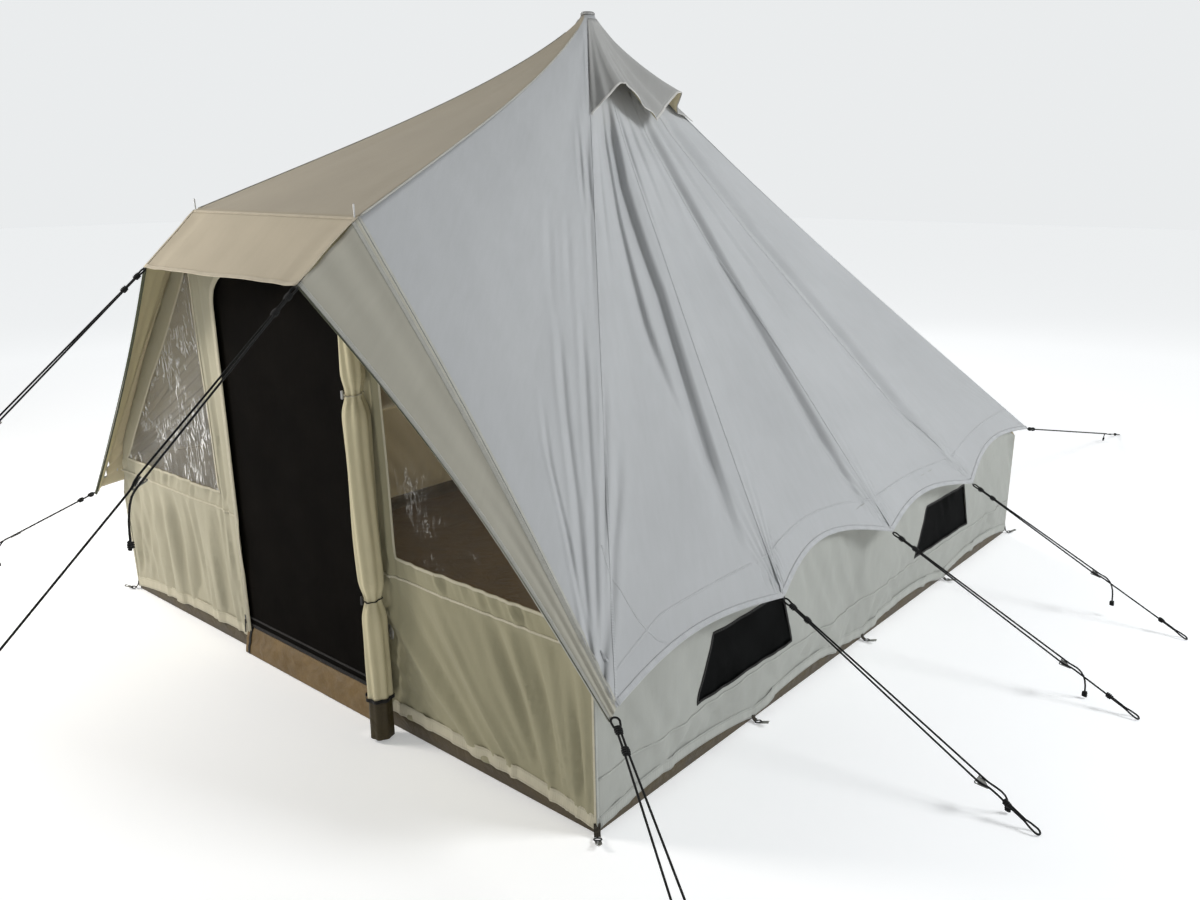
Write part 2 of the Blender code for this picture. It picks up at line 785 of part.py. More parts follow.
def make_door():
    outline = door_outline(-DOOR_CLEAR, DOOR_BOTTOM)[1:]
    jamb = DOOR_HALF - 2 * DOOR_CLEAR
    right = [(DOOR_HALF - GAP if x > jamb else x, z) for x, z in outline]
    left = [(-x, z) for x, z in outline][::-1]
    mesh = plate("mesh_door", [right + left], front_place, DOOR_MESH, black_mesh())
    move_origin(mesh, hinge_point())

    def on_face(a, b, depth):
        return front_place(a, b, -GAP - depth)

    inner, outer = door_outline(GAP, WALL_LIFT)[1:], door_outline(ZIP_WIDTH, WALL_LIFT)[1:]
    left_outer = [(-x, z) for x, z in outer][::-1]
    left_inner = [(-x, z) for x, z in inner]
    band = left_outer + outer + inner[::-1] + left_inner
    plate("door_zip", [band], on_face, ZIP_THICK, black_mesh())

    x = -(DOOR_HALF + ZIP_WIDTH / 2)

    def on_zip(a, b, depth):
        return front_place(a, b, -2 * GAP - ZIP_THICK - depth)

    half = SLIDER_WIDTH / 2
    low, high = SLIDER_START - SLIDER_LENGTH, SLIDER_START
    body, tip = high - SLIDER_BODY, half - SLIDER_TAPER
    shape = [(x - half, high), (x - half, body), (x - tip, low)]
    shape += [(x + tip, low), (x + half, body), (x + half, high)]
    slider = plate("zip_slider", [shape], on_zip, SLIDER_THICK, black_plastic())
    move_origin(slider, on_zip(x, high, SLIDER_THICK / 2))


def roll_axis(z):
    """The rolled door's centre line, just clear of the front wall's face and the zip on it."""
    stand = ROLL_RADIUS + ZIP_THICK + 2 * GAP
    return front_place(ROLL_CENTRE, z, -stand)


def make_roll():
    lean = Vector((0, -FRONT_LEAN, 1)).normalized()
    length = ROLL_TOP - ROLL_BOTTOM
    waist = ROLL_RADIUS - TIE_WAIST
    near = TIE_SPREAD
    edge = ROLL_EDGE
    profile = [(0, 0), (ROLL_RADIUS - edge / 2, 0), (ROLL_RADIUS, 2 * edge)]
    for height in (TIE_LOWER - ROLL_BOTTOM, TIE_UPPER - ROLL_BOTTOM):
        profile += [(ROLL_RADIUS, height - near), (waist, height - TIE_WIDTH / 2)]
        profile += [(waist, height + TIE_WIDTH / 2), (ROLL_RADIUS, height + near)]
    profile += [(ROLL_RADIUS - edge / 2, length - 2 * edge), (ROLL_RADIUS - edge, length), (0, length)]
    start, sides = roll_axis(ROLL_BOTTOM), FOLD_SIDES * ROLL_FOLDS
    turned("door_roll", profile, start, lean, panel_canvas(), sides, ROLL_FOLDS)
    end_length = ROLL_BOTTOM - GAP - ROLL_END_BOTTOM
    profile = [(0, 0), (ROLL_END_RADIUS - edge / 2, 0), (ROLL_END_RADIUS, edge)]
    profile += [(ROLL_END_RADIUS, end_length), (0, end_length)]
    start = roll_axis(ROLL_END_BOTTOM)
    turned("door_roll_end", profile, start, lean, floor_vinyl(), sides, ROLL_FOLDS)
    for z, name in ((TIE_LOWER, "lower"), (TIE_UPPER, "upper")):
        inner, outer = waist + GAP, waist + GAP + TIE_THICK
        ring("roll_tie_" + name, inner, outer, TIE_WIDTH - 2 * GAP, roll_axis(z), lean, black_mesh())
        heading = math.radians(TOGGLE_HEADING)
        spoke = Vector((math.cos(heading), math.sin(heading), 0))
        centre = roll_axis(z) + spoke * (outer + GAP + TOGGLE_RADIUS)
        profile = [(0, 0), (TOGGLE_RADIUS, 0), (TOGGLE_RADIUS, TOGGLE_LENGTH), (0, TOGGLE_LENGTH)]
        start = centre - Vector((0, 0, TOGGLE_LENGTH / 2))
        turned("roll_toggle_" + name, profile, start, (0, 0, 1), black_plastic(), SMALL_SIDES)


def ring(name, inner, outer, width, centre, axis, look):
    """A flat band round an axis."""
    axis = Vector(axis).normalized()
    aside, ahead = frame_for(axis)
    points, faces = [], []
    section = [(inner, -width / 2), (outer, -width / 2), (outer, width / 2), (inner, width / 2)]
    for i in range(ROUND_SIDES):
        angle = 2 * math.pi * i / ROUND_SIDES
        spoke = aside * math.cos(angle) + ahead * math.sin(angle)
        points += [centre + spoke * radius + axis * height for radius, height in section]
        a, b = i * 4, (i + 1) % ROUND_SIDES * 4
        for k in range(4):
            m = (k + 1) % 4
            faces.append((a + k, b + k, b + m, a + m))
    return mesh_object(name, points, faces, look, smooth=True)


# Poles
def lower_profile(radius, length):
    """A tube closed at both ends, with a narrower spigot that enters the section above."""
    neck = radius - TUBE_WALL - GAP
    return [(0, 0), (radius, 0), (radius, length), (neck, length), (neck, length + SPIGOT_LENGTH),
            (0, length + SPIGOT_LENGTH)]


def upper_profile(radius, length, spike, rise):
    """A tube whose lower end is open for the spigot, with a spike on top."""
    bore, depth = radius - TUBE_WALL, SPIGOT_LENGTH + SPIGOT_CLEAR
    return [(0, depth), (bore, depth), (bore, 0), (radius, 0), (radius, length),
            (spike, length), (spike, length + rise), (0, length + rise + spike)]


def make_centre_pole():
    base = FLOOR_SHEET + GAP
    y = APEX_Y
    profile = [(0, 0), (CENTRE_FOOT_RADIUS, 0), (CENTRE_FOOT_RADIUS, CENTRE_FOOT_RIM)]
    profile += [(CENTRE_FOOT_SEAT, CENTRE_FOOT_HEIGHT), (0, CENTRE_FOOT_HEIGHT)]
    turned("centre_pole_foot", profile, (0, y, base), (0, 0, 1), black_plastic())
    start = base + CENTRE_FOOT_HEIGHT + GAP
    lower = lower_profile(CENTRE_POLE_RADIUS, CENTRE_POLE_JOINT - start)
    turned("centre_pole_lower", lower, (0, y, start), (0, 0, 1), steel())
    joint = CENTRE_POLE_JOINT + GAP
    shoulder = APEX_HEIGHT - CENTRE_POLE_RADIUS - joint
    rise = CENTRE_POLE_RADIUS + GAP
    upper = upper_profile(CENTRE_POLE_RADIUS, shoulder, CENTRE_SPIKE, rise - CENTRE_SPIKE)
    turned("centre_pole_upper", upper, (0, y, joint), (0, 0, 1), steel())
    cap_base = APEX_HEIGHT + ROOF_CLOTH + 2 * GAP
    cap = [(0, -ROOF_CLOTH), (CAP_PLUG, -ROOF_CLOTH), (CAP_PLUG, 0), (CAP_RADIUS, 0)]
    cap += [(CAP_RADIUS, CAP_RIM), (CAP_CROWN, CAP_HEIGHT), (0, CAP_HEIGHT)]
    turned("apex_cap", cap, (0, y, cap_base), (0, 0, 1), black_plastic())


def front_pole_line(side):
    x = side * (RIDGE_HALF - POLE_INSET)
    foot = Vector((x, FRONT_Y + FRONT_POLE_BACK, FLOOR_SHEET + GAP))
    head = Vector((x, RIDGE_Y, RIDGE_HEIGHT - SHOULDER_DROP))
    return foot, head


def make_front_poles(covers):
    for side, end in ((1, "right"), (-1, "left")):
        foot, head = front_pole_line(side)
        axis = (head - foot).normalized()
        profile = [(0, 0), (FRONT_FOOT_RADIUS, 0), (FRONT_FOOT_RADIUS, FRONT_FOOT_HEIGHT)]
        profile += [(0, FRONT_FOOT_HEIGHT)]
        turned("front_pole_foot_" + end, profile, foot, (0, 0, 1), black_plastic())
        start = foot + axis * (FRONT_FOOT_HEIGHT + 2 * GAP)
        lower = lower_profile(FRONT_POLE_RADIUS, FRONT_POLE_JOINT)
        turned("front_pole_lower_" + end, lower, start, axis, steel(), SMALL_SIDES)
        joint = start + axis * (FRONT_POLE_JOINT + GAP)
        length = (head - joint).length
        upper = upper_profile(FRONT_POLE_RADIUS, length, SPIKE_RADIUS, SHOULDER_DROP + SPIKE_RISE)
        turned("front_pole_upper_" + end, upper, joint, axis, steel(), SMALL_SIDES)
        depth = SHOULDER_DROP
        hole = [(0, -depth), (SPIKE_HOLE, -depth), (SPIKE_HOLE, depth), (0, depth)]
        tool = turned("spike_hole_" + end, hole, head + axis * depth, axis, steel(), SMALL_SIDES)
        hide_tool(tool)
        for cover in covers:
            combine(cover, tool, "DIFFERENCE")


# Guy lines: a name, where the line leaves the tent, how far off the cloth it starts, where it
# meets the ground, and where its runner sits as a share of its length
def guy_list():
    bay = FLOOR_LENGTH / BAY_COUNT
    ground = CORD_RADIUS + GAP
    guys = []
    for side, end in ((1, "right"), (-1, "left")):
        start = visor_point(side, 1) + Vector((0, 0, ROOF_CLOTH / 2))
        peg = Vector((side * VISOR_PEG[0], FRONT_Y + VISOR_PEG[1], ground))
        guys.append(("visor_" + end, start, VISOR_SEAT, peg, VISOR_SHARE))
        peg = Vector((side * CORNER_PEG[0], FRONT_Y + CORNER_PEG[1], ground))
        start = guy_point(side, 0).lerp(strip_tip(side), 0.5)
        guys.append(("corner_" + end, start, CORNER_SEAT, peg, CORNER_SHARE))
    for station in range(1, BAY_COUNT):
        x, drift = EAVE_PEGS[(station - 1) % len(EAVE_PEGS)]
        peg = Vector((x, FRONT_Y + bay * station + drift, ground))
        share = EAVE_SHARES[(station - 1) % len(EAVE_SHARES)]
        guys.append(("eave_" + str(station), guy_point(1, station), EAVE_SEAT, peg, share))
    peg = Vector((REAR_PEG[0], BACK_Y + REAR_PEG[1], ground))
    guys.append(("rear_right", guy_point(1, BAY_COUNT), TIP_SEAT, peg, REAR_SHARE))
    return guys


def guy_frame(start, peg):
    """Along the line, level across it, and the upward normal of the two."""
    along = (peg - start).normalized()
    across = along.cross(Vector((0, 0, 1))).normalized()
    return along, across, across.cross(along).normalized()


def guy_route(length, runner, drop):
    """The cord's route as (along, across, down): a hanging tail, one strand up to the loop at the
    eave, the other strand back through the runner, and the eye at the peg."""
    s, r, near = STRAND_HALF, TURN_RADIUS, STRAND_CLOSE
    merge, eye = runner + MERGE_LENGTH, length - EYE_LENGTH
    tail, aside = runner + TAIL_LENGTH, -s - TAIL_ASIDE
    route = [(tail, aside, drop), (tail - 0.002, aside + 0.001, 0.6 * drop)]
    route += [(tail - 0.013, aside + 0.006, 0.22 * drop), (tail - 0.040, -s - 0.010, 0)]
    route += [(runner + 0.012, -s - 0.001, 0), (runner - 0.020, -s, 0)]
    route += [(KNOT_FAR, -near, 0), (KNOT_NEAR, -near, 0), (r, -r, 0), (0.3 * r, -0.71 * r, 0)]
    route += [(0, 0, 0), (0.3 * r, 0.71 * r, 0), (r, r, 0), (KNOT_NEAR, near, 0), (KNOT_FAR, near, 0)]
    route += [(runner - 0.020, s, 0), (runner + 0.002, 0.7 * s, 0), (merge - 0.020, 0.15 * s, 0)]
    route += [(merge, 0, 0), (eye - 0.020, 0, 0), (eye + 0.010, EYE_CLOSE, 0)]
    route += [(length - EYE_OPENING, EYE_CLOSE, 0), (length - r, r, 0), (length - 0.3 * r, 0.71 * r, 0)]
    route += [(length, 0, 0), (length - 0.3 * r, -0.71 * r, 0), (length - r, -r, 0)]
    route += [(length - EYE_OPENING, -EYE_CLOSE, 0), (eye + 0.006, -EYE_CLOSE - 0.003, 0)]
    return route


def headings(points):
    """The curve's heading at each point, nearer to that of the shorter stretch beside it."""
    stretches = [b - a for a, b in zip(points, points[1:])]
    found = [stretches[0].normalized()]
    for one, other in zip(stretches, stretches[1:]):
        found.append((one.normalized() * other.length + other.normalized() * one.length)
                     / (one.length + other.length))
    return found + [stretches[-1].normalized()]


def smooth_line(points, limit):
    """A smooth curve through the points, with one more point in each stretch under the limit."""
    made = [points[0]]
    ways = headings(points)
    for a, b, leaving, reaching in zip(points, points[1:], ways, ways[1:]):
        size = (b - a).length
        if size < limit:
            made.append((a + b) / 2 + (leaving - reaching) * size / 8)
        made.append(b)
    return made


def make_cord(name, points, radius):
    curve = bpy.data.curves.new(name, "CURVE")
    curve.dimensions = "3D"
    curve.bevel_depth = radius
    curve.bevel_resolution = 2
    curve.use_fill_caps = True
    line = curve.splines.new("POLY")
    line.points.add(len(points) - 1)
    for spot, place in zip(line.points, points):
        spot.co = (*place, 1.0)
    curve.materials.append(black_cord())
    made = bpy.data.objects.new(name, curve)
    bpy.context.collection.objects.link(made)
    return made


def make_guys():
    for name, edge, seat, peg, share in guy_list():
        along, across, normal = guy_frame(edge, peg)
        start = edge + along * seat
        length = (peg - start).length
        runner = share * length
        tail = (start + along * (runner + TAIL_LENGTH)).z
        drop = min(TAIL_DROP, tail - TAIL_CLEAR)
        down = Vector((0, 0, -1))
        spots = [start + along * a + across * b + down * c for a, b, c in guy_route(length, runner, drop)]
        make_cord("guy_" + name, smooth_line(spots, EYE_OPENING), CORD_RADIUS)
        make_runner("runner_" + name, start + along * runner, along, across, normal)


def make_runner(name, centre, along, across, normal):
    """A three-holed plate under its cord; its origin is on the line that it slides along."""
    upper, lower = -RUNNER_UPPER, RUNNER_LENGTH - RUNNER_UPPER
    corners = [(upper, -RUNNER_HALF), (upper, RUNNER_HALF), (lower, 0.0)]
    middle = (2 * upper + lower) / 3
    outline, holes = [], []
    for a, b in corners:
        spoke = Vector((a - middle, b))
        heading = math.degrees(math.atan2(spoke.y, spoke.x))
        seat = Vector((a, b)) - spoke.normalized() * 2 * RUNNER_ROUND
        outline += arc(seat, RUNNER_ROUND, heading + 60, heading - 60, 2)
        seat = Vector((a, b)) - spoke.normalized() * (RUNNER_HOLE_INSET + RUNNER_ROUND)
        holes.append(arc(seat, RUNNER_HOLE, 0, 300, 5))
    drop = CORD_RADIUS + GAP

    def place(a, b, depth):
        return centre + along * a + across * b - normal * (drop + depth)

    made = plate(name, [outline] + holes, place, RUNNER_THICK, steel())
    move_origin(made, centre - normal * (drop + RUNNER_THICK / 2))


def main():
    clear_scene()
    make_groundsheet()
    make_sill()
    front = make_roof()
    visor = make_visor()
    make_hood()
    make_front_walls()
    make_side_walls()
    make_back_wall()
    make_door()
    make_roll()
    make_centre_pole()
    make_front_poles((front, visor))
    make_guys()


main()
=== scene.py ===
"""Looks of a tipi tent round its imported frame: cloth, mesh, film, cords, pegs and fittings."""
from math import atan2, copysign, cos, exp, hypot, pi, radians, sin, sqrt

import bmesh
import bpy
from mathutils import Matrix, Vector, noise


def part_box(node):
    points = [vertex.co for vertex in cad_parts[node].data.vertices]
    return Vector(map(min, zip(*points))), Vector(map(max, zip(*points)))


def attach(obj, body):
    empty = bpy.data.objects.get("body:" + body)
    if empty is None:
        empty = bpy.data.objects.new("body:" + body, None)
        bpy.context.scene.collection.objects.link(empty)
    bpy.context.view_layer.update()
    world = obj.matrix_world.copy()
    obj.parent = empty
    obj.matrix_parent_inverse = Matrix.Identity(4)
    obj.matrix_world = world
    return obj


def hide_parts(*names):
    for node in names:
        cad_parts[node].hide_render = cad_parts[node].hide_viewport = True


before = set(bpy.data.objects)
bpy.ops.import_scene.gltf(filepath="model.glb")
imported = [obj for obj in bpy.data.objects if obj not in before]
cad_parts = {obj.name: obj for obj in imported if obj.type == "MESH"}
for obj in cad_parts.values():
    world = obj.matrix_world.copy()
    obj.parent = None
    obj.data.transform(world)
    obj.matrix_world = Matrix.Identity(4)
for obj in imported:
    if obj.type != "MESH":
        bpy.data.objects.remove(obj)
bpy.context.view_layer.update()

# Sizes that the frame gives
WALL_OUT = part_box("side_wall_right")[1].x
FRONT_Y = -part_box("side_wall_right")[1].y - 0.0004
BACK_Y = -FRONT_Y
APEX_Y = (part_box("apex_cap")[0].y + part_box("apex_cap")[1].y) / 2

SIDES = ((1, "right"), (-1, "left"))

# Sizes of the tent, in metres, as the solids have them, and of its sewn details
BAY_COUNT = 4
BAY = (BACK_Y - FRONT_Y) / BAY_COUNT
FRONT_LEAN = 0.030
FRONT_OUT = Vector((0, -1, FRONT_LEAN)).normalized()
APEX_HEIGHT = 2.780
APEX_RADIUS = 0.030
ROOF_SAG = 0.080
PANEL_DIP = 0.020
RIDGE_HALF = 0.535
RIDGE_HEIGHT = 1.918
RIDGE_Y = FRONT_Y - 0.036
SEAM_BULGE = 0.035
EAVE_HEIGHT = 0.550
EAVE_REACH = 0.110
CORNER_HEIGHT = 0.537
CORNER_REACH = 0.132
CORNER_FORWARD = 0.066
TIP_HEIGHT = 0.597
TIP_BACK = 0.220
SCALLOP_DEPTHS = (0.045, 0.085, 0.055, 0.060)
BACK_SCALLOP = 0.060
VISOR_HALF = 0.509
VISOR_REACH = 0.234
VISOR_DROP = 0.207
STRIP_SCALLOP = 0.045
STRIP_TIP = 0.030
HOOD_START = 0.004
HOOD_SLANT = radians(37)
HOOD_CURVE = 1.5
DOOR_HALF = 0.490
DOOR_TOP = 1.700
DOOR_BOTTOM = 0.124
DOOR_CORNER = 0.160
WINDOW_INNER = 0.610
WINDOW_BOTTOM = 0.726
WINDOW_EDGE = 0.085
VENT_BOTTOM = 0.240
VENT_TOP = 0.475
VENT_BOTTOM_HALF = 0.330
VENT_TOP_HALF = 0.235
VENT_FORWARD = 0.050
TUB_HEIGHT = 0.088
FLOOR_SHEET = 0.003
SILL_HEIGHT = 0.118
SILL_REACH = 0.032
CLOTH = 0.0012
SKIN = 0.0022
THIN = 0.0004
HEM = 0.022
HEM_THICK = 0.0016
SEAM = 0.011
SEAM_THICK = 0.0010
SEWN_LIFT = 0.0014
# The hood's lower edge: station, reach from the apex and how far it stands off the roof
HOOD_RIM = ((0.0, 0.180, 0.004), (0.5, 0.170, 0.085), (0.8, 0.156, 0.112), (1.0, 0.148, 0.110),
            (1.2, 0.147, 0.108), (1.5, 0.176, 0.100), (2.0, 0.198, 0.050), (2.5, 0.176, 0.074),
            (2.8, 0.163, 0.122), (3.0, 0.159, 0.127), (3.2, 0.158, 0.118), (3.4, 0.165, 0.060),
            (3.6, 0.172, 0.022), (4.0, 0.185, 0.010), (4.5, 0.168, 0.080), (5.0, 0.155, 0.115))
SEAM_LENGTH = 1.8
PANEL_LENGTH = 2.6
# A side roof's cut laid out flat, with its four gores side by side
EDGE = 0.996
CORNER_PATCH = ((0.957, 0.851), (1.01, 0.868), (1.069, 0.893), (1.169, 0.941), (1.26, 0.975), (1.345, 0.996))
VENT_BOW = 0.36
FRONT_BAND = 0.645
SIDE_BAND = 0.205
TUCK = 0.026
TUCK_REACH = 0.60
PEG_LENGTH = 0.042
PEG_HALF = 0.0105
PEG_HOLE = (5, 6)
PEG_STRAP = ((-0.002, 0.046), (0.002, 0.030), (0.009, 0.013), (0.020, 0.008))
ROLL_CENTRE = 0.494
ROLL_STAND = 0.0523
ROLL_ASIDE = 0.030
ROLL_TURNS = 5
ROLL_START = 0.30
ROLL_CLOTH = 0.0008
ROLL_CORE = 0.22
ROLL_TOP = 1.640
ROLL_SPLIT = 0.165
ROLL_FOOT = 0.012
TIES = (0.560, 1.330)

# Sizes of the cords and their fittings
CORD = 0.0035
STRAND_HALF = 0.018
TURN_RADIUS = 0.014
EYE_LENGTH = 0.130
EYE_CLOSE = 0.0045
EYE_OPENING = 0.060
MERGE_LENGTH = 0.042
TAIL_LENGTH = 0.085
TAIL_ASIDE = 0.030
TAIL_DROP = 0.110
TAIL_CLEAR = 0.020
KNOT_NEAR = 0.045
KNOT_FAR = 0.115
STRAND_CLOSE = 0.0055
GROUND = CORD + 0.0004
VISOR_PEG = (0.610, -2.272)
CORNER_PEG = (2.545, -0.595)
EAVE_PEGS = ((2.638, 0.000), (2.700, 0.060), (2.690, 0.040))
REAR_PEG = (1.440, 2.960)
VISOR_SEAT = 0.0047
CORNER_SEAT = 0.0090
EAVE_SEAT = 0.0038
TIP_SEAT = 0.0039

# Camera, found from pegs, seams and tips in the photograph
CAMERA_PLACE = (3.373, -3.989, 2.063)
CAMERA_TURN = (74.62, 0.0, 40.38)
CAMERA_LENS = 30.19

# A place inside the tent, which tells a sheet's two sides apart
INSIDE = Vector((0.0, -0.2, 0.9))

# Threads and stitches, to a metre
CANVAS_THREADS = 262.0
FLOOR_THREADS = 130.0
MESH_THREADS = 210.0
STITCHES = 220.0

# Lights: name, place, target, size in metres, power in watts and colour
LIGHTS = (
    ("key", (6.2, 1.6, 5.2), (0.8, 0.0, 1.1), 2.2, 310.0, (0.97, 0.99, 1.01)),
    ("fill", (-3.3, -4.3, 3.0), (-0.8, -1.9, 1.0), 1.4, 168.0, (1.0, 0.96, 0.91)),
    ("rear", (-4.5, 5.0, 4.6), (-0.4, 0.6, 1.0), 2.2, 170.0, (1.0, 1.0, 1.0)),
    ("inside", (0.1, -0.1, 1.9), (0.0, 0.0, 0.0), 0.6, 16.0, (1.0, 0.94, 0.84)),
)
STAGE_REACH = 40.0

# Folds of the side roof, each a line of (reach from the apex, station), a depth and a width in metres;
# a crease is soft on one side and sharp on the other
CREASE_EDGE = 0.013
CREASES = (
    (((0.13, 1.78), (0.30, 1.70), (0.50, 1.83), (0.93, 1.86)), 0.040, 0.060),
    (((0.13, 1.50), (0.35, 1.48), (0.55, 1.58), (0.74, 1.74)), 0.030, 0.045),
    (((0.13, 3.18), (0.30, 3.06), (0.45, 2.99), (0.97, 2.90)), 0.034, 0.060),
    (((0.12, 4.45), (0.28, 4.20), (0.40, 4.07), (0.96, 3.97)), 0.042, 0.090),
    (((0.13, 2.05), (0.20, 2.05), (0.42, 2.02)), 0.014, 0.030),
    (((0.13, 2.45), (0.20, 2.45), (0.40, 2.35)), 0.014, 0.032),
    (((0.13, 2.80), (0.20, 2.78), (0.38, 2.70)), 0.012, 0.028),
    (((0.14, 3.60), (0.30, 3.50), (0.66, 3.45)), 0.012, 0.045),
    (((0.14, 1.20), (0.30, 1.18), (0.52, 1.22)), 0.008, 0.030),
)
FOLDS = (
    (((0.01, 0.975), (0.12, 0.970), (0.24, 0.975)), 0.0072, 0.016),
    (((0.16, 0.88), (0.36, 0.92), (0.56, 0.95)), 0.0060, 0.022),
    (((0.20, 0.77), (0.30, 0.88), (0.40, 1.02)), 0.0084, 0.020),
    (((0.24, 0.70), (0.34, 0.80), (0.44, 0.92)), 0.0060, 0.020),
    (((0.48, 0.50), (0.58, 0.58), (0.70, 0.68)), 0.0048, 0.026),
    (((0.44, 0.66), (0.54, 0.72), (0.66, 0.79)), 0.0048, 0.026),
    (((0.64, 0.68), (0.76, 0.757), (0.85, 0.832), (1.00, 0.905)), 0.0090, 0.028),
    (((0.80, 0.64), (0.87, 0.706), (0.92, 0.80), (1.00, 0.905)), 0.0066, 0.022),
    (((0.56, 0.84), (0.67, 0.874), (0.81, 0.914), (1.00, 0.935)), 0.0078, 0.024),
    (((0.70, 1.12), (0.78, 1.083), (0.84, 1.02), (1.00, 0.945)), 0.0084, 0.024),
    (((0.60, 1.01), (0.75, 0.99), (0.86, 0.97), (1.00, 0.950)), 0.0060, 0.018),
)


# Materials
class Look:
    """One material's node tree, with short calls for what every material here needs."""

    def __init__(self, name, colour, roughness, metallic=0.0, sheen=0.0, specular=0.5):
        self.material = bpy.data.materials.new(name)
        self.material.use_nodes = True
        self.tree = self.material.node_tree
        self.shader = self.tree.nodes["Principled BSDF"]
        for socket, value in (("Base Color", (*colour, 1.0)), ("Roughness", roughness),
                              ("Metallic", metallic), ("Sheen Weight", sheen),
                              ("Specular IOR Level", specular)):
            self.shader.inputs[socket].default_value = value
        self.normal = None

    def node(self, kind, links=(), **settings):
        """A node with its settings, each link being a socket and a value or another node's output."""
        made = self.tree.nodes.new(kind)
        for key, value in settings.items():
            setattr(made, key, value)
        for socket, value in links:
            if isinstance(value, bpy.types.NodeSocket):
                self.tree.links.new(value, made.inputs[socket])
            else:
                made.inputs[socket].default_value = value
        return made

    def place(self, source="UV", scale=(1, 1, 1), turn=0.0):
        """Coordinates in metres, from the cut's own flat layout or from the object."""
        found = self.node("ShaderNodeTexCoord")
        turned = (0.0, 0.0, radians(turn))
        links = [("Vector", found.outputs[source]), ("Scale", scale), ("Rotation", turned)]
        return self.node("ShaderNodeMapping", links).outputs["Vector"]

    def noise(self, scale, detail=4.0, place=None, warp=0.0, stretch=1.0):
        """A noise that many times to a metre; a stretch under 1 draws it out along the cloth's fall."""
        links = [("Scale", scale), ("Detail", detail), ("Roughness", 0.55), ("Distortion", warp),
                 ("Vector", place or self.place(scale=(1.0, stretch, 1.0)))]
        return self.node("ShaderNodeTexNoise", links).outputs["Fac"]

    def wave(self, scale, place, warp=0.0):
        links = [("Scale", scale), ("Distortion", warp), ("Vector", place)]
        return self.node("ShaderNodeTexWave", links).outputs["Fac"]

    def threads(self, scale, operation):
        """Crossing threads, that many to a metre."""
        warp, weft = self.wave(scale, self.place()), self.wave(scale, self.place(turn=90))
        return self.maths(operation, warp, weft)

    def maths(self, operation, *values):
        return self.node("ShaderNodeMath", enumerate(values), operation=operation).outputs[0]

    def ramp(self, factor, *stops):
        """A colour for each (place, colour), mixed in between."""
        made = self.node("ShaderNodeValToRGB", [("Fac", factor)])
        elements = made.color_ramp.elements
        while len(elements) < len(stops):
            elements.new(0.5)
        for element, (spot, colour) in zip(elements, stops):
            element.position = spot
            element.color = (*colour, 1.0)
        return made.outputs["Color"]

    def tint(self, factor, colour, dark, light, span=(0.3, 0.7)):
        """The colour times dark to light, as the factor goes through its span."""
        return self.ramp(factor, (span[0], shade(colour, dark)), (span[1], shade(colour, light)))

    def mix(self, factor, first, second, blend="MIX"):
        links = [(0, factor), (6, first), (7, (*second, 1.0) if isinstance(second, tuple) else second)]
        return self.node("ShaderNodeMix", links, data_type="RGBA", blend_type=blend).outputs[2]

    def feed(self, socket, value):
        self.tree.links.new(value, self.shader.inputs[socket])

    def bump(self, height, distance, strength=1.0):
        """One more layer of relief, at that many metres."""
        links = [("Height", height), ("Distance", distance), ("Strength", strength)]
        if self.normal:
            links.append(("Normal", self.normal))
        self.normal = self.node("ShaderNodeBump", links).outputs["Normal"]
        self.feed("Normal", self.normal)


def shade(colour, factor):
    return tuple(min(1.0, c * factor) for c in colour)


def canvas(name, colour, crease=1.0):
    """Woven polyester canvas: threads, soft creases along its fall and faint changes of tone."""
    look = Look(name, colour, 0.84, sheen=0.08, specular=0.15)
    drift = look.tint(look.noise(1.6, 3.0), colour, 0.95, 1.04)
    fine = look.noise(34.0, 6.0, stretch=0.25)
    marks = look.ramp(fine, (0.35, (0.98, 0.98, 0.975)), (0.65, (1.01, 1.01, 1.01)))
    look.feed("Base Color", look.mix(1.0, drift, marks, "MULTIPLY"))
    look.bump(look.noise(8.0, 4.0, warp=0.4, stretch=0.14), 0.007 * crease, 0.5)
    look.bump(look.noise(30.0, 6.0, warp=0.8, stretch=0.5), 0.0016 * crease, 0.5)
    look.bump(look.threads(CANVAS_THREADS, "MULTIPLY"), 0.00015, 0.6)
    look.feed("Roughness", look.maths("MULTIPLY_ADD", fine, 0.16, 0.74))
    return look.material


def hem_cloth(name, colour, stitch_tone=0.85):
    """Folded and sewn edges: a double layer with two rows of stitches along it."""
    look = Look(name, colour, 0.84, sheen=0.10, specular=0.15)
    split = look.node("ShaderNodeSeparateXYZ", [("Vector", look.place())])
    rows = look.maths("ABSOLUTE", look.maths("SUBTRACT", split.outputs["Y"], 0.5))
    near = look.maths("LESS_THAN", look.maths("ABSOLUTE", look.maths("SUBTRACT", rows, 0.34)), 0.045)
    along = look.maths("FRACT", look.maths("MULTIPLY", split.outputs["X"], STITCHES))
    stitch = look.maths("MULTIPLY", near, look.maths("GREATER_THAN", along, 0.35))
    cloth = look.tint(look.noise(26.0, 4.0, stretch=0.02), colour, 0.92, 1.06)
    look.feed("Base Color", look.mix(stitch, cloth, shade(colour, stitch_tone)))
    look.bump(look.wave(34.0, look.place(scale=(1.0, 0.01, 1.0)), 3.0), 0.0012, 0.6)
    look.bump(stitch, 0.0005)
    return look.material


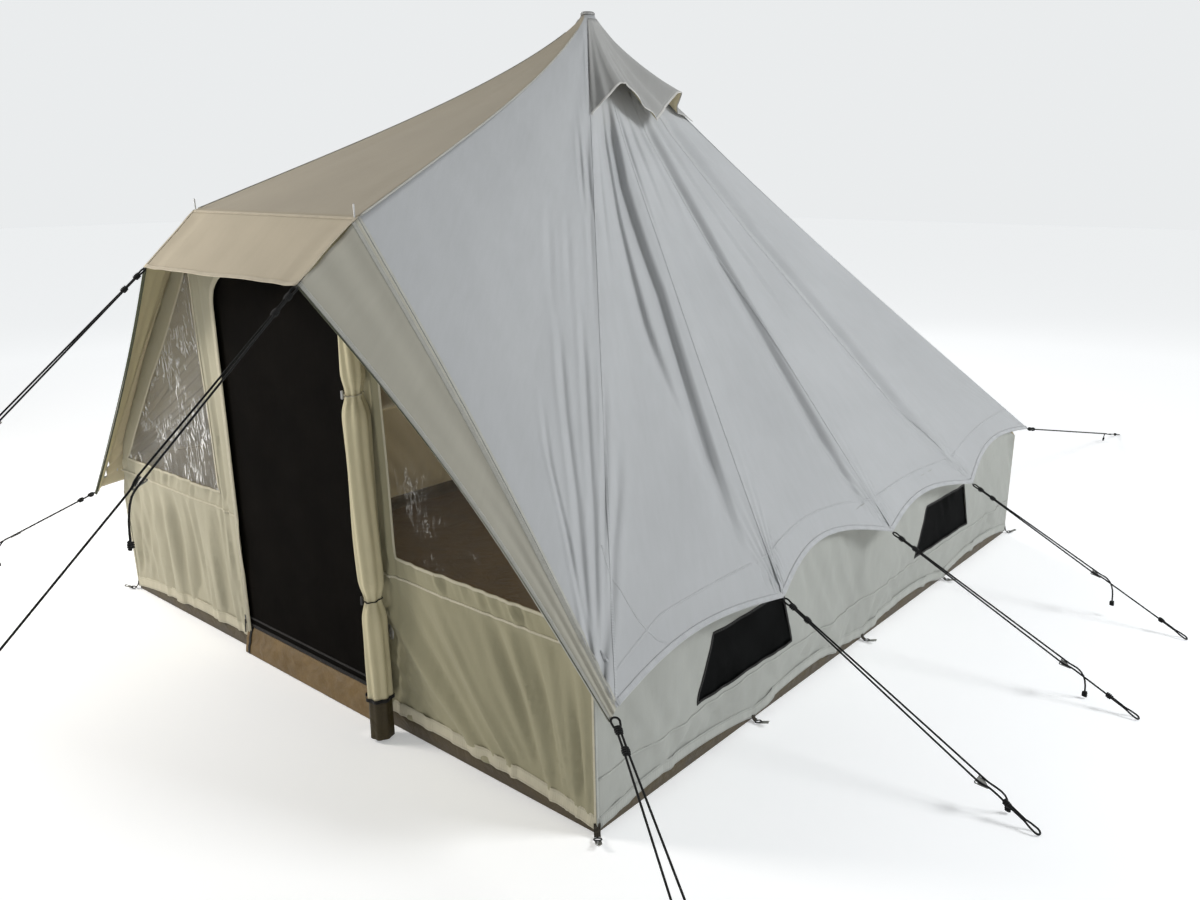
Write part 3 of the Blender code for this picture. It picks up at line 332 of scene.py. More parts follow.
def vinyl(name, colour):
    """Coated floor sheet: a coarse weave under a dull film, with scuffs."""
    look = Look(name, colour, 0.55, specular=0.25)
    tone = look.noise(7.0, 6.0, warp=0.8)
    specks = look.ramp(look.noise(120.0, 3.0), (0.40, (0.93, 0.92, 0.90)), (0.62, (1.06, 1.05, 1.04)))
    look.feed("Base Color", look.mix(1.0, look.tint(tone, colour, 0.78, 1.22, (0.30, 0.72)), specks,
                                     "MULTIPLY"))
    look.bump(look.noise(9.0, 5.0, warp=1.2), 0.016, 0.7)
    look.bump(look.threads(FLOOR_THREADS, "MULTIPLY"), 0.0003, 0.6)
    look.feed("Roughness", look.maths("MULTIPLY_ADD", tone, 0.30, 0.35))
    return look.material


def netting(name, colour, cover):
    """Insect mesh: crossing threads with see-through cells between them."""
    look = Look(name, colour, 0.80, specular=0.03)
    threads = look.threads(MESH_THREADS, "MAXIMUM")
    look.feed("Alpha", look.maths("GREATER_THAN", threads, 1.0 - cover))
    look.feed("Base Color", look.tint(look.noise(5.0), colour, 0.7, 1.5))
    look.bump(threads, 0.0003, 0.6)
    look.bump(look.noise(6.0, stretch=0.3), 0.010, 0.5)
    return look.material


def film(name, turn, clear, glint, spread):
    """Clear window film, creased from packing, with painted glints: white streaks along the creases that are
    painted highlights of creases catching the light, as well as the milky whitening of creased film.
    """
    look = Look(name, (0.97, 0.96, 0.93), 0.10, specular=0.7)
    streaks = look.noise(26.0, 6.0, look.place(scale=(1.0, 0.20, 1.0), turn=turn), 1.4)
    lines = look.maths("ABSOLUTE", look.maths("SUBTRACT", streaks, 0.5))
    sharp = look.ramp(lines, (0.000, (1.0, 1.0, 1.0)), (0.008, (0.7, 0.7, 0.7)), (0.022, (0.0, 0.0, 0.0)))
    where = look.ramp(look.noise(4.5, 3.0), (spread, (0.0, 0.0, 0.0)), (spread + 0.14, (1.0, 1.0, 1.0)))
    painted_glints = look.mix(1.0, sharp, where, "MULTIPLY")
    # The painted glints make the film opaque white along the streaks, wherever the light is; the rest stays
    # nearly clear
    look.feed("Alpha", look.maths("MULTIPLY_ADD", painted_glints, glint, clear))
    look.bump(streaks, 0.030)
    look.bump(look.noise(60.0, 5.0, warp=1.0), 0.003, 0.6)
    return look.material


def metal(name, colour, roughness):
    """Zinc-coated steel: mottled tone, fine scratches and slightly uneven gloss."""
    look = Look(name, colour, roughness, 1.0)
    look.feed("Base Color", look.tint(look.noise(60.0, 6.0, look.place("Object")), colour, 0.80, 1.15))
    scratch = look.noise(90.0, 4.0, look.place("Object", (6.0, 6.0, 0.3)))
    look.feed("Roughness", look.maths("MULTIPLY_ADD", scratch, 0.35, roughness - 0.15))
    look.bump(scratch, 0.0003, 0.4)
    return look.material


def moulded(name, colour, roughness=0.5):
    """Moulded plastic with a fine grain."""
    look = Look(name, colour, roughness)
    look.feed("Base Color", look.tint(look.noise(25.0, 5.0, look.place("Object")), colour, 0.75, 1.4))
    look.bump(look.noise(700.0, 3.0, look.place("Object")), 0.0002, 0.5)
    return look.material


def braid(name, colour):
    """Braided cord or woven webbing."""
    look = Look(name, colour, 0.82, sheen=0.1, specular=0.12)
    one, other = [look.wave(55.0, look.place("Object", (way, 1.0, 1.0), 35.0), 1.0) for way in (1.0, -1.0)]
    plait = look.maths("MAXIMUM", one, other)
    look.bump(plait, 0.0006, 0.8)
    look.feed("Base Color", look.tint(plait, colour, 0.6, 1.8, (0.2, 0.9)))
    return look.material


SIDE = canvas("cloth_side", (0.412, 0.420, 0.426), 0.5)
HOOD = canvas("cloth_hood", (0.345, 0.343, 0.332), 0.5)
# The front roof's cloth is the visor's front cloth at 0.8 of its tone: painted shade for the less light its
# slope gets
FRONT_ROOF_PAINTED_SHADE = canvas("cloth_front_roof_painted_shade", (0.365, 0.322, 0.248), 0.6)
FRONT = canvas("cloth_front", (0.468, 0.410, 0.310), 0.7)
STRIP = canvas("cloth_strip", (0.425, 0.408, 0.345), 0.7)
STRIP_INNER = canvas("cloth_strip_inner", (0.580, 0.515, 0.315))
WALL = canvas("cloth_wall", (0.335, 0.343, 0.318), 1.3)
PANEL = canvas("cloth_panel", (0.362, 0.338, 0.250), 1.6)
# The right front panel's cloth is a darker, more olive copy of the panel cloth: painted shade for the strip,
# visor and roll over it
PANEL_PAINTED_SHADE = canvas("cloth_panel_right_painted_shade", (0.285, 0.264, 0.172), 1.6)
INNER = canvas("cloth_inner", (0.470, 0.410, 0.270), 1.2)
ROLL = canvas("cloth_roll", (0.500, 0.450, 0.295), 1.4)
SIDE_HEM = hem_cloth("hem_side", (0.426, 0.434, 0.440), 0.96)
FRONT_HEM = hem_cloth("hem_front", (0.500, 0.442, 0.340))
STRIP_HEM = hem_cloth("hem_strip", (0.430, 0.425, 0.385))
PALE_HEM = hem_cloth("hem_pale", (0.460, 0.425, 0.320))
WALL_HEM = hem_cloth("hem_wall", (0.370, 0.378, 0.350))
HOOD_HEM = hem_cloth("hem_hood", (0.560, 0.550, 0.520), 0.95)
FLOOR = vinyl("floor_sheet", (0.085, 0.058, 0.026))
SILL = vinyl("sill_sheet", (0.150, 0.098, 0.040))
# The tub's walls take a darker copy of the floor vinyl: painted shade on the walls under the hems
TUB_PAINTED_SHADE = vinyl("tub_sheet_painted_shade", (0.072, 0.054, 0.028))
# The roll's foot is floor vinyl in a far darker copy: the vinyl's own brown with painted shade at the bottom
# of the roll
ROLL_END_PAINTED_SHADE = vinyl("roll_end_sheet_painted_shade", (0.036, 0.026, 0.009))
DOOR_NET = netting("door_net", (0.0030, 0.0024, 0.0018), 0.96)
VENT_NET = netting("vent_net", (0.0035, 0.0038, 0.0038), 0.96)
# Both films carry painted glints; the left one's many white streaks are painted highlights as well as
# creases, the right one's are few
FILM = film("window_film_right", 24.0, 0.012, 0.20, 0.55)
FILM_CREASED_PAINTED_GLINTS = film("window_film_left", -20.0, 0.08, 1.0, 0.43)
DARK_HEM = hem_cloth("hem_dark", (0.050, 0.056, 0.028))
ZINC = metal("zinc", (0.42, 0.42, 0.40), 0.42)
ALLOY = metal("alloy", (0.50, 0.50, 0.49), 0.36)
DULL = metal("dull_zinc", (0.20, 0.20, 0.185), 0.50)
BLACK = moulded("black_moulding", (0.014, 0.014, 0.014))
TAN_CAP = moulded("cap_moulding", (0.380, 0.380, 0.365))
GREY_CAP = moulded("grey_moulding", (0.200, 0.200, 0.194))
CORD_LOOK = braid("black_braid", (0.007, 0.007, 0.007))
WEBBING = braid("webbing", (0.030, 0.026, 0.020))
ZIP = hem_cloth("zip_tape", (0.012, 0.011, 0.010))

# Which looks show each of the record's slots
SLOTS = {
    "side_canvas": (SIDE, HOOD, SIDE_HEM, WALL_HEM, HOOD_HEM),
    "front_canvas": (FRONT_ROOF_PAINTED_SHADE, FRONT, STRIP, STRIP_INNER, FRONT_HEM, STRIP_HEM, DARK_HEM, INNER),
    "wall_canvas": (WALL,),
    "panel_canvas": (PANEL, PANEL_PAINTED_SHADE, ROLL, PALE_HEM),
    "floor_vinyl": (FLOOR, TUB_PAINTED_SHADE, SILL, ROLL_END_PAINTED_SHADE),
    "black_mesh": (DOOR_NET, VENT_NET),
    "clear_film": (FILM, FILM_CREASED_PAINTED_GLINTS),
    "steel": (ZINC, ALLOY, DULL),
    "black_plastic": (BLACK, TAN_CAP, GREY_CAP),
    "black_cord": (CORD_LOOK, WEBBING, ZIP),
}
SLOT_OF = {look.name: slot for slot, looks in SLOTS.items() for look in looks}


# Mesh building
def link(made):
    bpy.context.scene.collection.objects.link(made)


def enter(made, look, body, stands_for):
    """Puts a piece in the scene, on its body and the nodes that it stands for."""
    link(made)
    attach(made, body)
    if stands_for:
        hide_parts(*stands_for)
    return made


def show(name, points, faces, look, uvs=None, smooth=True, thickness=0.0, body="tent", stands_for=(),
         lining=None):
    """A mesh that rides on a body and stands for the CAD nodes named; a lining is its inner side's look."""
    mesh = bpy.data.meshes.new(name)
    mesh.from_pydata([tuple(p) for p in points], [], faces)
    mesh.materials.append(look)
    if uvs:
        layer = mesh.uv_layers.new(name="flat")
        for loop in mesh.loops:
            layer.data[loop.index].uv = uvs[loop.vertex_index]
    if lining:
        mesh.materials.append(lining)
        if sum(face.normal.dot(face.center - INSIDE) * face.area for face in mesh.polygons) < 0:
            mesh.flip_normals()
    if smooth:
        mesh.shade_smooth()
    made = bpy.data.objects.new(name, mesh)
    if thickness:
        change = made.modifiers.new("thickness", "SOLIDIFY")
        change.thickness = thickness
        change.offset = 0.0
        change.material_offset = 1 if lining else 0
    return enter(made, look, body, stands_for)


def grid(name, surface, across, down, look, stands_for=(), thickness=CLOTH, lining=None, gores=None):
    """A sheet over a surface of two shares, with its flat layout measured along the cloth."""
    rows = [[surface(a, b) for a in across] for b in down]
    width = len(across)
    uvs = []
    fall = 0.0
    for i, row in enumerate(rows):
        if i:
            fall += (row[width // 2] - rows[i - 1][width // 2]).length
        run = 0.0
        for j, point in enumerate(row):
            if j:
                run += (point - row[j - 1]).length
            uvs.append((gores(across[j], down[i]) if gores else run, fall))
    faces = []
    for i in range(len(rows) - 1):
        for j in range(width - 1):
            a = i * width + j
            faces += [(a, a + 1, a + width + 1), (a, a + width + 1, a + width)]
    points = [p for row in rows for p in row]
    return show(name, points, faces, look, uvs, thickness=thickness, stands_for=stands_for, lining=lining)


class Bands:
    """Many flat bands in one mesh: hems, seams, tapes and straps."""

    def __init__(self):
        self.points, self.faces, self.uvs = [], [], []

    def add(self, path, ups, width, thick, closed=False):
        """A band along a path, lying square to ups, with low rounded edges."""
        first, half, count = len(self.points), width / 2, len(path)
        section = [(-half, 0.0, 0.0), (-0.82 * half, thick, 0.1), (-0.45 * half, thick, 0.3),
                   (0.0, 0.8 * thick, 0.5), (0.45 * half, thick, 0.7), (0.82 * half, thick, 0.9),
                   (half, 0.0, 1.0)]
        run = 0.0
        for i, (place, up) in enumerate(zip(path, ups)):
            before = path[i - 1] if i or closed else path[0]
            after = path[(i + 1) % count] if i + 1 < count or closed else path[-1]
            aside = (after - before).normalized().cross(up).normalized()
            if i:
                run += (place - path[i - 1]).length
            for offset, rise, share in section:
                self.points.append(place + aside * offset + up * rise)
                self.uvs.append((run, share))
        size = len(section)
        for i in range(count if closed else count - 1):
            a, b = first + i * size, first + (i + 1) % count * size
            self.faces += [(a + k, a + k + 1, b + k + 1, b + k) for k in range(size - 1)]

    def follow(self, surface, spots, outward, width, thick):
        """A band along these spots of a surface, a hair off it on its outward side."""
        ups = [normal_at(surface, a, b, outward) for a, b in spots]
        self.add([surface(a, b) + up * 0.0006 for (a, b), up in zip(spots, ups)], ups, width, thick)

    def sew(self, place, spots, out, width, thick, closed=False, lift=SEWN_LIFT):
        """A band along these spots of a flat cut that place puts in space."""
        self.add([place(a, b) + out * lift for a, b in spots], [out] * len(spots), width, thick, closed)

    def show(self, name, look, body="tent", stands_for=()):
        return show(name, self.points, self.faces, look, self.uvs, thickness=0.0008, body=body,
                    stands_for=stands_for)


def steps(low, high, count):
    return [low + (high - low) * i / count for i in range(count + 1)]


def shares(count):
    return steps(0.0, 1.0, count)


def dense(corners, count):
    """The line through the corners with that many points to each stretch, without its last corner."""
    return [(a + (c - a) * s, b + (d - b) * s)
            for (a, b), (c, d) in zip(corners, corners[1:]) for s in shares(count)[:-1]]


def ring_faces(count, rings):
    """The faces between closed rings of points that follow each other."""
    return [(i * count + j, i * count + (j + 1) % count, (i + 1) * count + (j + 1) % count,
             (i + 1) * count + j)
            for i in range(rings - 1) for j in range(count)]


def cut_sheet(made, trims=()):
    """Returns the sheet as it is."""
    return made


def normal_at(surface, a, b, outward):
    """The surface's unit normal on the outward side."""
    step = 0.002
    across = surface(a + step, b) - surface(a - step, b)
    down = surface(a, b + step) - surface(a, b - step)
    normal = across.cross(down).normalized()
    return normal if normal.dot(outward) > 0 else -normal


def wobble(*place):
    return noise.noise(Vector(place))


def bell(offset, width):
    return exp(-(offset / width) ** 2)


def clamp(value):
    return min(1.0, max(0.0, value))


def arch(share):
    """Rises from 0 to 1 and falls back to 0 as the share goes from 0 to 1."""
    return sin(pi * share)


def cut(name, loops, spacing, place, look, stands_for=(), thickness=CLOTH, lining=None, body="tent"):
    """A flat cut of cloth with its holes, sliced on a grid, then put in space with its folds."""
    work = bmesh.new()
    for loop in loops:
        corners = [work.verts.new((a, b, 0.0)) for a, b in loop]
        for one, other in zip(corners, corners[1:] + corners[:1]):
            work.edges.new((one, other))
    bmesh.ops.triangle_fill(work, use_beauty=True, use_dissolve=False, edges=list(work.edges))
    for axis, gap in enumerate(spacing):
        low = min(v.co[axis] for v in work.verts)
        high = max(v.co[axis] for v in work.verts)
        normal = Vector((1, 0, 0)) if axis == 0 else Vector((0, 1, 0))
        for i in range(1, int((high - low) / gap) + 1):
            everything = list(work.verts) + list(work.edges) + list(work.faces)
            bmesh.ops.bisect_plane(work, geom=everything, dist=1e-6, plane_co=normal * (low + i * gap),
                                   plane_no=normal)
    bmesh.ops.remove_doubles(work, verts=list(work.verts), dist=0.0012)
    bmesh.ops.triangulate(work, faces=list(work.faces))
    work.verts.index_update()
    flat = [(v.co.x, v.co.y) for v in work.verts]
    faces = [tuple(v.index for v in face.verts) for face in work.faces]
    work.free()
    points = [place(a, b) for a, b in flat]
    return show(name, points, faces, look, flat, thickness=thickness, body=body, stands_for=stands_for,
                lining=lining)


def tube(name, points, radius, look, body="tent", stands_for=(), closed=False):
    """A round line through points, as a curve."""
    curve = bpy.data.curves.new(name, "CURVE")
    curve.dimensions = "3D"
    curve.bevel_depth = radius
    curve.bevel_resolution = 3
    curve.use_fill_caps = True
    line = curve.splines.new("POLY")
    line.points.add(len(points) - 1)
    line.use_cyclic_u = closed
    for spot, place in zip(line.points, points):
        spot.co = (*place, 1.0)
    curve.materials.append(look)
    return enter(bpy.data.objects.new(name, curve), look, body, stands_for)


def run_of(t):
    """Metres along the side roof's edge from its front corner; less than 0 up the front seam."""
    return (t - 1) * (SEAM_LENGTH if t < 1 else BAY)


def line_at(line, t, reach):
    """How far a place lies beside a fold's line, in metres, and how full the fold is there."""
    for (start, one), (end, other) in zip(line, line[1:]):
        if start <= reach <= end:
            middle = one + (other - one) * (reach - start) / (end - start)
            fade = min(1.0, (reach - line[0][0]) / 0.08,
                       (line[-1][0] - reach) / 0.16 if line[-1][0] < 1 else 1.0)
            return (run_of(t) - run_of(middle)) * reach, max(fade, 0.0)
    return 0.0, 0.0


def fold_depth(t, reach):
    """The named folds' depth at a place: positive goes in."""
    depth = 0.0
    reach = min(reach, 1.0)
    for line, deep, wide in FOLDS:
        aside, fade = line_at(line, t, reach)
        if fade:
            depth += deep * fade * (bell(aside, wide) - 0.45 * bell(aside + 2.2 * wide, wide)
                                    - 0.35 * bell(aside - 2.2 * wide, wide))
    for line, deep, wide in CREASES:
        aside, fade = line_at(line, t, reach)
        if fade:
            depth += deep * fade * bell(aside, wide if aside < 0 else CREASE_EDGE)
    return depth


# Skin of the tent, as the solids have it
def ridge_end(side):
    return Vector((side * RIDGE_HALF, RIDGE_Y, RIDGE_HEIGHT))


def guy_point(side, station):
    if station == 0:
        return Vector((side * (WALL_OUT + CORNER_REACH), FRONT_Y - CORNER_FORWARD, CORNER_HEIGHT))
    if station == BAY_COUNT:
        return Vector((side * WALL_OUT, BACK_Y + TIP_BACK, TIP_HEIGHT))
    return Vector((side * (WALL_OUT + EAVE_REACH), FRONT_Y + BAY * station, EAVE_HEIGHT))


def side_base(side, t):
    """On the side panel's edge: 0 to 1 down the front seam, then one more for each bay."""
    if t < 1:
        place = ridge_end(side).lerp(guy_point(side, 0), t)
        place.x += side * SEAM_BULGE * arch(t)
        return place
    station = min(int(t - 1), BAY_COUNT - 1)
    part = t - 1 - station
    place = guy_point(side, station).lerp(guy_point(side, station + 1), part)
    depth = SCALLOP_DEPTHS[station] * arch(part)
    place.x -= side * depth
    place.z += depth
    return place


def back_base(share):
    place = guy_point(1, BAY_COUNT).lerp(guy_point(-1, BAY_COUNT), share)
    depth = BACK_SCALLOP * arch(share)
    place.y -= 2 * depth
    place.z += depth
    return place


def outward_of(base):
    return Vector((base.x, base.y - APEX_Y, 0)).normalized()


def fan_point(base, reach, dip=0.0, lift=0.0):
    """On the line from the apex to base, hanging a little under it and lifted off it."""
    outward = outward_of(base)
    top = Vector((0, APEX_Y, APEX_HEIGHT)) + outward * APEX_RADIUS
    place = top.lerp(base, reach)
    place.z -= ROOF_SAG * arch(max(reach, 0.0) ** 0.6)
    place.z -= PANEL_DIP * dip * arch(reach)
    return place + (outward * 0.6 + Vector((0, 0, 0.8))) * lift


def side_folds(side, t, reach):
    """How far the side roof's cloth stands off its even surface."""
    middle = arch(clamp(reach))
    depth = 0.016 * wobble(t * 1.7, reach * 0.9, 3.1 * side) * middle
    depth += 0.006 * wobble(t * 5.0, reach * 1.2, 8.4 * side) * middle
    depth -= fold_depth(t, reach)
    for station in range(1, BAY_COUNT + 1):
        run = (t - 1 - station) * BAY * reach
        fall = (1.0 - reach) * PANEL_LENGTH
        far = hypot(run, fall)
        spread = cos(atan2(run, fall + 0.01) * 50 + station) * bell(atan2(run, fall + 0.03), 0.55)
        depth += 0.0070 * spread * exp(-far / 0.22) * min(1.0, far / 0.05)
    return depth * clamp(t / 0.10) * clamp((BAY_COUNT + 1 - t) / 0.10)


def rim_of(along):
    """The hood's lower edge at that station: its reach and how far it stands off the roof."""
    along = min(along, 2 * BAY_COUNT + 2 - along)
    for (start, *one), (end, *other) in zip(HOOD_RIM, HOOD_RIM[1:]):
        if along <= end:
            part = max(0.0, (along - start) / (end - start))
            return [a + (b - a) * part for a, b in zip(one, other)]
    return HOOD_RIM[-1][1:]


def side_roof(side):
    def surface(t, reach):
        dip = arch(t - 1) ** 2 if t > 1 else 0.0
        return fan_point(side_base(side, t), reach, dip, SKIN + side_folds(side, t, reach))
    return surface


def back_roof(share, reach):
    middle = arch(clamp(reach))
    depth = 0.006 * wobble(share * 7.0, reach * 0.9, 21.0) * middle
    for corner in (0.0, 1.0):
        run = (share - corner) * 3.1 * reach
        far = hypot(run, (1 - reach) * 2.6)
        depth += 0.006 * cos(run * 70) * bell(run, 0.14) * exp(-far / 0.4)
    depth *= clamp((0.5 - abs(share - 0.5)) / 0.03)
    return fan_point(back_base(share), reach, arch(share), SKIN + depth)


def front_roof(share, reach):
    middle = arch(clamp(reach))
    base = Vector((RIDGE_HALF * (2 * share - 1), RIDGE_Y, RIDGE_HEIGHT))
    depth = 0.010 * wobble(share * 4.0, reach * 1.2, 31.0) * middle
    corner = bell(1 - reach, 0.25) * bell(abs(2 * share - 1) - 1, 0.35)
    depth += 0.004 * cos(share * 38) * corner * middle ** 0.5
    depth *= clamp((0.5 - abs(share - 0.5)) / 0.08)
    return fan_point(base, reach, 0.0, SKIN + depth)


def hood(along, down):
    """The vent hood: along counts stations from the right front corner round the back to the left."""
    side = 1 if along <= BAY_COUNT + 1 else -1
    if along <= BAY_COUNT:
        base, dip = side_base(1, 1 + along), arch(along) ** 2
    elif along <= BAY_COUNT + 2:
        share = (along - BAY_COUNT) / 2
        base, dip = back_base(share), arch(share)
    else:
        left = 2 * BAY_COUNT + 2 - along
        base, dip = side_base(-1, 1 + left), arch(left) ** 2
    low, stand = rim_of(along)
    fall = min(max(down, 0.0), 1.1)
    outward = outward_of(base) * cos(HOOD_SLANT) + Vector((0, 0, sin(HOOD_SLANT)))
    depth = 0.006 * wobble(along * 3.0, fall * 1.5, 5.0 * side)
    depth += 0.006 * cos(along * 2 * pi / 0.47) * min(1.0, stand / 0.05) * fall
    rise = SKIN + 0.0035 + stand * fall ** HOOD_CURVE + max(depth * fall, -0.004)
    reach = HOOD_START + (low - HOOD_START) * down
    return fan_point(base, reach, dip) + outward * rise


def visor_surface(share, down):
    across = 2 * share - 1
    half = RIDGE_HALF + (VISOR_HALF - RIDGE_HALF) * down
    place = Vector((across * half, RIDGE_Y - VISOR_REACH * down, RIDGE_HEIGHT - VISOR_DROP * down))
    folds = 0.009 * wobble(share * 5.0, down * 1.5, 41.0)
    folds += 0.004 * cos(share * 44) * bell(abs(across) - 1, 0.25)
    return place + Vector((0, -0.6, 0.8)) * (SKIN + folds * clamp(down / 0.12))


def strip_tip(side):
    return guy_point(side, 0) + Vector((0, -STRIP_TIP, -STRIP_TIP))


def strip_edge(side, share):
    corner = Vector((side * VISOR_HALF, RIDGE_Y - VISOR_REACH, RIDGE_HEIGHT - VISOR_DROP))
    place = corner.lerp(strip_tip(side), share)
    inward = (side_base(side, min(share, 0.9999)) - place).normalized()
    return place + inward * STRIP_SCALLOP * arch(share)


def strip_surface(side):
    def surface(share, across):
        seam = side_base(side, min(max(share, 0.0), 0.9999))
        place = seam.lerp(strip_edge(side, clamp(share)), across)
        folds = 0.010 * wobble(share * 1.2, across * 3.0 + share * 1.5, 51.0 * side)
        folds += 0.006 * wobble(share * 4.0, across * 1.5, 52.0 * side)
        folds += 0.004 * cos(across * 14 + 2 * share) * bell(share - 1, 0.24)
        folds += 0.006 * cos(across * 13) * bell(share, 0.22)
        return place + Vector((side * 0.6, -0.6, 0.5)) * (SKIN + folds * arch(across))
    return surface


# Roof pieces
def make_roof():
    # More columns beside each station, where the seams and their pulls lie
    fine = [d * 0.0075 for d in range(-12, 13)]
    for side, end in SIDES:
        surface = side_roof(side)
        across = steps(0.0, 0.6, 36) + steps(0.6, 1.2, 90)[1:] + steps(1.2, 5.0, 190)[1:]
        across += [1.0 + station + d for station in range(BAY_COUNT + 1) for d in fine]
        across = sorted(set(round(t, 4) for t in across if t <= 5.0))
        across = [t for t, before in zip(across, [-1.0] + across) if t - before > 0.0012]

        def gores(t, reach):
            middle = run_of(min(int(t), BAY_COUNT) + 0.5)
            return middle + (run_of(t) - middle) * reach

        sheet = grid("side_roof_" + end, surface, across, shares(110), SIDE, ["roof_" + end], lining=INNER,
                     gores=gores)
        outward = Vector((side, 0, 1))
        seams, hems, front = Bands(), Bands(), Bands()
        for station in range(BAY_COUNT):
            line = [(1.0 + station, r) for r in steps(0.13 if station else 0.03, 0.995, 90)]
            seams.follow(surface, line, outward, SEAM, SEAM_THICK)
        low = [(t, 0.938 + 0.018 * arch(t % 1) + 0.090 * max(0.0, 1.3 - t))
               for t in steps(0.94, 1.0 + BAY_COUNT, 130)]
        for line in (low, dense(CORNER_PATCH, 8)):
            seams.follow(surface, line, outward, 0.6 * SEAM, 0.0003)
        hems.follow(surface, [(1.0 + s, EDGE) for s in steps(0.0, BAY_COUNT, 150)], outward, HEM, HEM_THICK)
        front.follow(surface, [(t, EDGE) for t in steps(0.0, 0.995, 70)], outward, SEAM, HEM_THICK)
        front.follow(surface, [(0.0, r) for r in steps(0.05, 0.99, 60)], outward, 0.6 * SEAM, SEAM_THICK)
        trims = [seams.show("roof_seams_" + end, SIDE_HEM), hems.show("eave_hem_" + end, SIDE_HEM),
                 front.show("front_seams_" + end, STRIP_HEM)]
        cut_sheet(sheet, trims)
    sheet = grid("back_roof", back_roof, shares(90), shares(90), SIDE, ["roof_back"], lining=INNER)
    # The front roof takes the darker copy of the front cloth, whose tone paints its shade
    front_sheet = grid("front_roof", front_roof, shares(50), shares(80), FRONT_ROOF_PAINTED_SHADE, ["roof_front"],
                       lining=INNER)
    cut_sheet(front_sheet)
    back = Bands()
    outward = Vector((0, 1, 1))
    back.follow(back_roof, [(s, EDGE) for s in shares(80)], outward, HEM, HEM_THICK)
    for share in (0.004, 0.5, 0.996):
        back.follow(back_roof, [(share, r) for r in steps(0.13, 0.99, 80)], outward, SEAM, SEAM_THICK)
    cut_sheet(sheet, [back.show("back_seams", SIDE_HEM)])


def make_hood():
    around = steps(0.0, 2 * BAY_COUNT + 2, 400)
    sheet = grid("vent_cover", hood, around, shares(30), HOOD, ["vent_hood"], lining=INNER)
    rim = Bands()
    path = [hood(along, 1.0) for along in around]
    ups = [(outward_of(here) * 0.6 + Vector((0, 0, 0.8))).normalized() for here in path]
    rim.add(path, ups, 0.010, 0.0020)
    cut_sheet(sheet, [rim.show("vent_cover_hem", HOOD_HEM)])


def make_visor():
    sheet = grid("visor_sheet", visor_surface, shares(60), shares(16), FRONT, ["visor"], lining=INNER)
    hems, dark = Bands(), Bands()
    outward = Vector((0, -1, 1))
    hems.follow(visor_surface, [(s, 0.985) for s in shares(50)], outward, 0.8 * HEM, 0.0020)
    hems.follow(visor_surface, [(s, 0.01) for s in shares(50)], outward, SEAM, 0.0014)
    for side, end in SIDES:
        surface = strip_surface(side)
        strip = grid("strip_sheet_" + end, surface, shares(110), shares(24), STRIP, ["strip_" + end],
                     lining=STRIP_INNER)
        out = Vector((side, -1, 0.5))
        sewn = Bands()
        sewn.follow(surface, [(s, 0.965) for s in shares(80)], out, 0.7 * HEM, HEM_THICK)
        sewn.follow(surface, [(s, 0.07) for s in steps(0.0, 0.99, 80)], out, 1.3 * SEAM, SEAM_THICK)
        cut_sheet(strip, [sewn.show("strip_hems_" + end, STRIP_HEM)])
        end_line = [(0.5 + 0.494 * side, down) for down in shares(20)]
        hems.follow(visor_surface, end_line, outward, SEAM, HEM_THICK)
        line = [strip_edge(side, s) + Vector((side * 0.002, -0.002, 0.0)) for s in shares(80)]
        dark.add(line, [Vector((-side * 0.55, -0.75, -0.2)).normalized()] * len(line), 0.013, 0.0014)
    cut_sheet(sheet,
              [hems.show("visor_hems", FRONT_HEM), dark.show("visor_piping", DARK_HEM)])


# Walls
def jamb_line(side, bottom):
    """The door opening's outline; the left wall's cloth reaches further in, most at the top."""
    outline = door_outline(0.0, bottom)
    if side > 0:
        return outline
    return [outline[0]] + [(x - 0.030 - 0.045 * min(1.0, z / 1.6), z) for x, z in outline[1:]]


def corner_hold(gap):
    """Folds fade where two walls are sewn together."""
    return clamp(gap / 0.07)


def front_rise(x):
    """The front walls' lower edge: on the ground at the corner peg and drawn up towards the door."""
    return 0.018 + 0.054 * (1.0 - exp(-max(0.0, WALL_OUT - x) / 0.28))


def front_place(x, z, depth=0.0):
    return Vector((x, FRONT_Y - FRONT_LEAN * z + depth, z))


def skin_at_wall(side, share):
    seam = side_base(side, min(share, 0.9999))
    wall = FRONT_Y - FRONT_LEAN * seam.z
    if wall >= seam.y:
        top_y = fan_point(seam, 0.0).y
        return fan_point(seam, (wall - top_y) / (seam.y - top_y))
    edge = strip_edge(side, share)
    return seam.lerp(edge, (seam.y - wall) / (seam.y - edge.y))


def slanted_edge():
    places = [skin_at_wall(1, 0.93 * i / 10) for i in range(11)]
    return [(p.x - 0.003, p.z - 0.003) for p in places]


def arc(centre, radius, start, end, count):
    turns = [radians(a) for a in steps(start, end, count)]
    return [(centre[0] + radius * cos(a), centre[1] + radius * sin(a)) for a in turns]


def door_outline(grow, bottom):
    centre = (DOOR_HALF - DOOR_CORNER, DOOR_TOP - DOOR_CORNER)
    corner = arc(centre, DOOR_CORNER + grow, 90, 0, 12)
    return [(0.001, DOOR_TOP + grow)] + corner + [(DOOR_HALF + grow, bottom)]


def window_outline(grow=0.0):
    edge = slanted_edge()
    run, drop = edge[8][0] - edge[2][0], edge[2][1] - edge[8][1]
    slope = drop / run
    offset = (WINDOW_EDGE - grow) * hypot(run, drop) / run
    inner, low = WINDOW_INNER - grow, WINDOW_BOTTOM - grow
    high = edge[2][1] - slope * (inner - edge[2][0]) - offset
    return [(inner, low), (inner + (high - low) / slope, low), (inner, high)]


